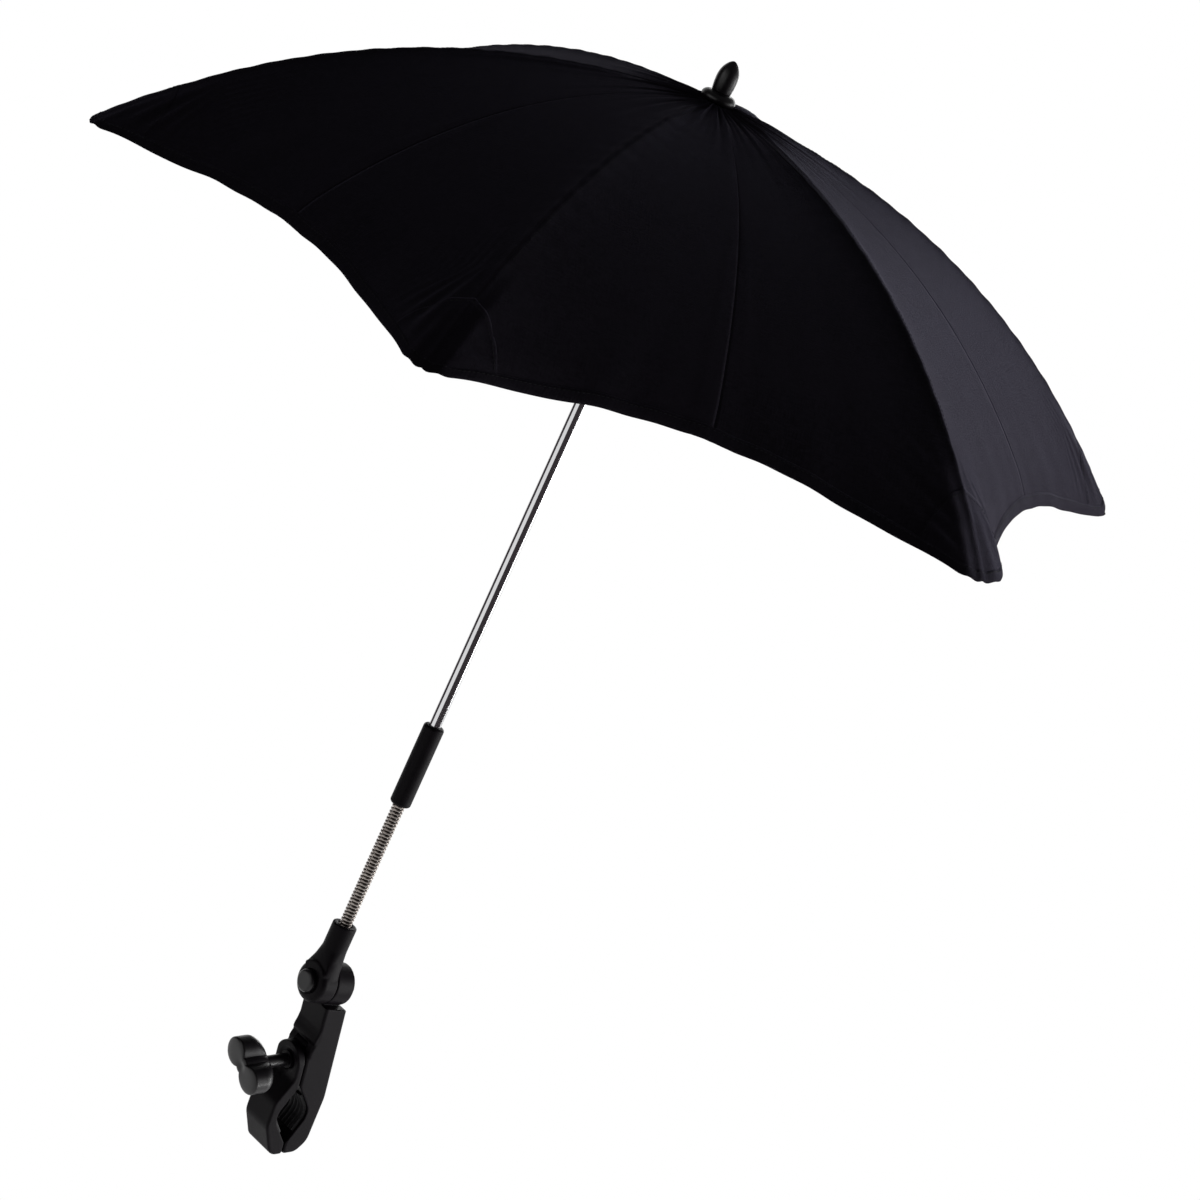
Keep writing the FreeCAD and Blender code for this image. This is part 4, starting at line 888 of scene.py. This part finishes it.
binding_tape = woven_cloth(
    "binding_tape", dark=(0.0062, 0.0053, 0.0068), light=(0.0150, 0.0128, 0.0170),
    sheen=0.16, threads=1300.0)
for rib in range(1, RIBS + 1):
    def lay_tape(across, along):
        angle = GORE_HALF * (1 - 2 * across)
        inset, lift = TAPE_PROFILE[round(along * len(TAPE_PROFILE)) % len(TAPE_PROFILE)]
        place, inward, outward = cloth_frame(rib, angle, hem_distance(angle))
        if inset > 0:
            place, _, outward = cloth_frame(rib, angle, hem_distance(angle) - inset)
            inset = 0
        return place + inward * inset + outward * lift, (TAPE_ROUND * angle, along * 2 * TAPE_WIDTH)

    tape = cloth_grid(f"hem_tape_{rib}", TAPE_COLUMNS, len(TAPE_PROFILE), lay_tape)
    close_ends(60)
    tape.data.materials.append(binding_tape)
    fold_in(tape, rib)

# Corner patches: a rounded piece of the same cloth sewn on over each rib tip, against wear.
# Its round edge is stitched down, and its lower edge lies under the hem binding.
PATCH_UP = 0.042
PATCH_SIDE = 0.046
PATCH_THICK = 0.0002
PATCH_WIDEST = radians(7.4)
PATCH_INSET = 0.003
PATCH_LIP = 0.15
PATCH_EDGE = 0.0012
PATCH_COLUMNS = 72
PATCH_ROWS = 44
EDGE_HALVINGS = 30
ONE_SIDE = 2e-9  # puts the middle column on one gore of the weave's map


def patch_edge(angle):
    """Plan distance of the patch's round edge."""
    low, high = HEM_TIP - PATCH_UP, hem_distance(angle)
    for _ in range(EDGE_HALVINGS):
        plan = (low + high) / 2
        up = (HEM_TIP - plan * cos(angle)) / PATCH_UP
        aside = plan * sin(angle) / PATCH_SIDE
        if up**2 + aside**2 > 1:
            low = plan
        else:
            high = plan
    return high


for rib in range(1, RIBS + 1):
    def lay_patch(across, along):
        angle = PATCH_WIDEST * (1 - 2 * across)
        inner = patch_edge(angle)
        plan = inner + (hem_distance(angle) - PATCH_INSET - inner) * along
        place, _, outward = cloth_frame(rib, angle, plan)
        full = smooth_step(0.0, PATCH_EDGE, plan - inner)
        rise = PATCH_THICK * (PATCH_LIP + (1 - PATCH_LIP) * full)
        return place + outward * rise, weave_map(angle + ONE_SIDE, plan)

    patch = cloth_grid(f"corner_patch_{rib}", PATCH_COLUMNS, PATCH_ROWS, lay_patch)
    patch.data.materials.append(canopy_cloth)
    modify(patch, "SOLIDIFY", thickness=PATCH_THICK, offset=-1)
    fold_in(patch, rib)

# Stitching: lock stitches of black polyester thread along the hem tape, the round edge of each
# patch and both sides of each rib seam, each stitch a small twisted loop that stands on the cloth.
STITCH_PITCH = 0.003
STITCH_HALF = (0.0011, 0.00022, 0.00016)
STITCH_LIFT = 0.0001
HEM_LINE_IN = 0.0036
HEM_LINE_LIFT = 0.00048
HEM_STEPS = 240
PATCH_LINE_IN = 0.0028
PATCH_LINE_CLEAR = 0.007
PATCH_STEPS = 80
SEAM_LINE_SIDE = 0.0021
SEAM_LINE_FROM = 0.04
SEAM_STEP = 0.0022
SEAM_STEPS = 110
sewing_thread = drawn_steel(
    "sewing_thread", dark=(0.012, 0.012, 0.014), light=(0.022, 0.022, 0.026),
    rough=(0.55, 0.75), stretch=(3000.0, 3000.0, 3000.0), depth=0.0001,
    Metallic=0.0, Specular_IOR_Level=0.12)
start_piece()
bpy.ops.mesh.primitive_uv_sphere_add(segments=6, ring_count=4, radius=1)
one_stitch = bpy.context.object
stitch_points = [
    Vector((v.co.z * STITCH_HALF[0], v.co.x * STITCH_HALF[1], v.co.y * STITCH_HALF[2]))
    for v in one_stitch.data.vertices]
stitch_faces = [list(face.vertices) for face in one_stitch.data.polygons]
bpy.ops.object.delete()


def sew(rib, line, points, faces):
    """Adds stitches along a line of (angle, plan, lift) places."""
    left_over = 0.0
    before = None
    for angle, plan, lift in line:
        place, _, outward = cloth_frame(rib, angle, plan)
        place += outward * lift
        if before is not None:
            along = place - before
            step = along.length
            at = STITCH_PITCH - left_over
            while at <= step:
                middle = before + along * (at / step)
                way = along.normalized()
                aside = outward.cross(way).normalized()
                start = len(points)
                points += [middle + way * q.x + aside * q.y + outward * q.z for q in stitch_points]
                faces += [[start + k for k in face] for face in stitch_faces]
                at += STITCH_PITCH
            left_over = step - (at - STITCH_PITCH)
        before = place


for rib in range(1, RIBS + 1):
    points, faces = [], []
    turns = [GORE_HALF * (1 - 2 * k / HEM_STEPS) for k in range(HEM_STEPS + 1)]
    line = [(a, hem_distance(a) - HEM_LINE_IN, HEM_LINE_LIFT) for a in turns]
    sew(rib, line, points, faces)
    turns = [PATCH_WIDEST * (1 - 2 * k / PATCH_STEPS) for k in range(PATCH_STEPS + 1)]
    line = [(a, patch_edge(a) + PATCH_LINE_IN, PATCH_THICK + STITCH_LIFT) for a in turns
            if patch_edge(a) + PATCH_LINE_CLEAR < hem_distance(a)]
    sew(rib, line, points, faces)
    outs = [SEAM_LINE_FROM + SEAM_STEP * k for k in range(SEAM_STEPS)]
    for side in (-1, 1):
        sew(rib, [(side * SEAM_LINE_SIDE / r, r, STITCH_LIFT) for r in outs], points, faces)
    mesh = bpy.data.meshes.new(f"stitching_{rib}")
    mesh.from_pydata(points, [], faces)
    stitching = add_object(f"stitching_{rib}", mesh)
    take_up(stitching)
    face_outward()
    bpy.ops.object.shade_smooth()
    mesh.materials.append(sewing_thread)
    fold_in(stitching, rib)

# Crown cap and finial: the collar that clamps the cloth, and the bullet-shaped top screwed on it.
# Both are round mouldings of the knob's glossy nylon. A profile gives shares of height with radii.
COLLAR_PROFILE = (
    (0.0, 0.0), (0.0, 0.0086), (0.07, 0.0099), (0.2, 0.0109), (0.38, 0.0114), (0.56, 0.0114),
    (0.74, 0.0108), (0.89, 0.0097), (0.97, 0.0083), (1.0, 0.0068), (1.0, 0.0))
FINIAL_PROFILE = (
    (0.0, 0.0), (0.0, 0.0060), (0.1, 0.0064), (0.25, 0.0068), (0.42, 0.0070), (0.56, 0.0068),
    (0.7, 0.0061), (0.82, 0.0048), (0.91, 0.0033), (0.965, 0.0020), (0.99, 0.0010), (1.0, 0.0))
COLLAR_OVER = 0.001
FINIAL_OVER = 0.0015
for node, profile, over in (
        ("crown_cap", COLLAR_PROFILE, COLLAR_OVER), ("finial", FINIAL_PROFILE, FINIAL_OVER)):
    low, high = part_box(node)
    rings = len(profile) - 1
    start_piece()
    bpy.ops.mesh.primitive_uv_sphere_add(segments=48, ring_count=rings, radius=1)
    turned = bpy.context.object
    turned.name = f"{node}_moulding"
    for vertex in turned.data.vertices:
        ring = round(acos(max(-1.0, min(1.0, -vertex.co.z))) / pi * rings)
        share, radius = profile[ring]
        turn = atan2(vertex.co.y, vertex.co.x)
        height = low.z + (high.z + over - low.z) * share
        vertex.co = (shaft_x + radius * cos(turn), radius * sin(turn), height)
    modify(turned, "SUBSURF", levels=1, render_levels=1)
    bpy.ops.object.shade_smooth()
    turned.data.materials.append(gloss_plastic)
    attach(turned, "shaft")
    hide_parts(node)

# Studio: a pale floor, soft boxes from the right, behind and the left, and the photograph's camera.
# The floor lies as far below as under a pram's handle, so that the tilted canopy clears it.
FLOOR_DROP = 0.75
FLOOR_RADIUS = 14.0
floor_z = cad_box[0].z - FLOOR_DROP


def seen_mask(tree, x, y):
    """Light Path, and a mask from it that is 1 for camera, glossy and transmission rays."""
    path = add_node(tree, "ShaderNodeLightPath", x, y)
    seen = math_node(tree, "MAXIMUM", x + 200, y)
    through = math_node(tree, "MAXIMUM", x + 400, y)
    wire(
        tree, (path, "Is Camera Ray", seen, 0), (path, "Is Glossy Ray", seen, 1),
        (seen, "Value", through, 0), (path, "Is Transmission Ray", through, 1))
    return path, through


start_piece()
bpy.ops.mesh.primitive_circle_add(
    vertices=96, radius=FLOOR_RADIUS, fill_type="NGON", location=(0, 0, floor_z))
floor = bpy.context.object
floor.name = "studio_floor"
bpy.ops.object.transform_apply(location=True)
floor_paint = bpy.data.materials.new("floor_paint")
floor_paint.use_nodes = True
tree = floor_paint.node_tree
tree.nodes.clear()
matt = add_node(tree, "ShaderNodeBsdfDiffuse", 0, 100, Color=(0.88, 0.88, 0.88, 1))
glow = add_node(tree, "ShaderNodeEmission", 0, -50, Strength=1.0)
_, seen = seen_mask(tree, -600, 300)
share = math_node(tree, "MULTIPLY", 0, 300)
ground = add_node(tree, "ShaderNodeTexCoord", -600, 600)
reach = add_node(tree, "ShaderNodeVectorMath", -400, 600)
reach.operation = "LENGTH"
whiter = add_node(
    tree, "ShaderNodeMapRange", -200, 600, From_Min=0.3, From_Max=1.1, To_Min=0.98, To_Max=1.0)
blend = add_node(tree, "ShaderNodeMixShader", 250, 100)
under = add_node(tree, "ShaderNodeNewGeometry", 250, 400)
clear = add_node(tree, "ShaderNodeBsdfTransparent", 250, -100)
seen_below = add_node(tree, "ShaderNodeMixShader", 450, 100)
surface = add_node(tree, "ShaderNodeOutputMaterial", 650, 100)
wire(
    tree, (ground, "Object", reach, 0), (reach, "Value", whiter, "Value"),
    (seen, "Value", share, 0), (whiter, "Result", share, 1), (share, "Value", blend, "Fac"),
    (matt, "BSDF", blend, 1), (glow, "Emission", blend, 2),
    (under, "Backfacing", seen_below, "Fac"), (blend, "Shader", seen_below, 1),
    (clear, "BSDF", seen_below, 2), (seen_below, "Shader", surface, "Surface"))
floor.data.materials.append(floor_paint)

world = bpy.data.worlds.new("studio_light")
bpy.context.scene.world = world
world.use_nodes = True
tree = world.node_tree
tree.nodes.clear()
path, seen = seen_mask(tree, -800, 200)
fill = add_node(tree, "ShaderNodeBackground", -200, 0, Color=(1, 0.94, 1, 1))
white = add_node(tree, "ShaderNodeBackground", -200, -150, Color=(1, 1, 1, 1), Strength=1.0)
sky = add_node(tree, "ShaderNodeTexCoord", -1000, -200)
height = add_node(tree, "ShaderNodeSeparateXYZ", -800, -200)
ceiling = add_node(
    tree, "ShaderNodeMapRange", -600, -200, From_Min=0.2, From_Max=0.55, To_Min=1.0, To_Max=0.1)
walls = add_node(
    tree, "ShaderNodeMapRange", -400, 0, From_Min=-0.1, From_Max=0.4, To_Min=0.26, To_Max=0.02)
lower = math_node(tree, "MAXIMUM", -400, -200)
blend = add_node(tree, "ShaderNodeMixShader", 100, 0)
surface = add_node(tree, "ShaderNodeOutputWorld", 300, 0)
wire(
    tree, (sky, "Generated", height, "Vector"), (height, "Z", ceiling, "Value"),
    (height, "Z", walls, "Value"), (ceiling, "Result", lower, 0), (path, "Is Camera Ray", lower, 1),
    (walls, "Result", fill, "Strength"), (lower, "Value", white, "Strength"),
    (seen, "Value", blend, "Fac"), (fill, "Background", blend, 1), (white, "Background", blend, 2),
    (blend, "Shader", surface, "Surface"))

# camera fitted to the canopy's corners, the shaft and the clamp, in a 1200 x 1200 frame
FRAME_PIXELS = 1200
FOCAL_PIXELS = 4696.6
AZIMUTH = radians(-46.73)
RISE = radians(14.17)
ROLL = radians(24.6)
DISTANCE = 2.8922
OFFSET_RIGHT = 0.0624
OFFSET_UP = -0.3077
crown_top = Vector((shaft_x, 0, cloth_top))
right = Vector((cos(AZIMUTH), sin(AZIMUTH), 0))
back = Vector((sin(AZIMUTH) * cos(RISE), -cos(AZIMUTH) * cos(RISE), sin(RISE)))
up = back.cross(right)
view_x = right * cos(ROLL) + up * sin(ROLL)
view_y = -right * sin(ROLL) + up * cos(ROLL)
place = crown_top + right * OFFSET_RIGHT + up * OFFSET_UP + back * DISTANCE
lens = bpy.data.cameras.new("photo_camera")
lens.sensor_width = 36.0
lens.lens = FOCAL_PIXELS / FRAME_PIXELS * lens.sensor_width
camera = add_object("photo_camera", lens)
camera.matrix_world = Matrix((
    (view_x.x, view_y.x, back.x, place.x),
    (view_x.y, view_y.y, back.y, place.y),
    (view_x.z, view_y.z, back.z, place.z),
    (0, 0, 0, 1)))
bpy.context.scene.camera = camera

# soft boxes: the key from the right and a little behind, a rim from behind and above, and a weak
# fill from the left, all aimed at one height on the shaft
AIM_HEIGHT = 0.45
aim = Vector((shaft_x, 0, AIM_HEIGHT))
for name, way, distance, size, power in (
        ("soft_box_right", right - back * 0.12 - up * 0.05, 2.2, 1.2, 58.0),
        ("soft_box_rim", right * 0.25 - back + up * 0.3, 2.4, 1.4, 20.0),
        ("soft_box_left", right * -1.0 + back * 0.75 + up * 0.25, 2.6, 0.9, 2.5)):
    lamp = bpy.data.lights.new(name, "AREA")
    lamp.shape = "SQUARE"
    lamp.size = size
    lamp.energy = power
    box = add_object(name, lamp)
    box.location = aim + way.normalized() * distance
    box.rotation_euler = (aim - box.location).to_track_quat("-Z", "Y").to_euler()

# black flags on the camera's side, which only reflections see, as a studio sets them for chrome
flag_cloth, _, _ = new_material(
    "flag_cloth", Base_Color=(0.004, 0.004, 0.004, 1), Roughness=1.0, Specular_IOR_Level=0.0,
    Emission_Color=(0.045, 0.038, 0.042, 1), Emission_Strength=1.0)
to_camera = atan2(back.y, back.x)
FLAG_RADIUS = 0.85
FLAG_HEIGHT = 1.5
for name, first, last in (("studio_flag_front", -8, 104), ("studio_flag_left", -128, -72)):
    start_piece()
    bpy.ops.mesh.primitive_grid_add(x_subdivisions=24, y_subdivisions=1, size=1)
    flag = bpy.context.object
    flag.name = name
    for vertex in flag.data.vertices:
        turn = to_camera + radians(first + (last - first) * (vertex.co.x + 0.5))
        height = cad_box[0].z + FLAG_HEIGHT * (vertex.co.y + 0.5)
        vertex.co = (shaft_x + FLAG_RADIUS * cos(turn), FLAG_RADIUS * sin(turn), height)
    flag.data.materials.append(flag_cloth)
    flag.visible_camera = flag.visible_diffuse = flag.visible_shadow = False
    flag.visible_transmission = flag.visible_volume_scatter = False

bpy.context.scene.view_settings.view_transform = "Standard"
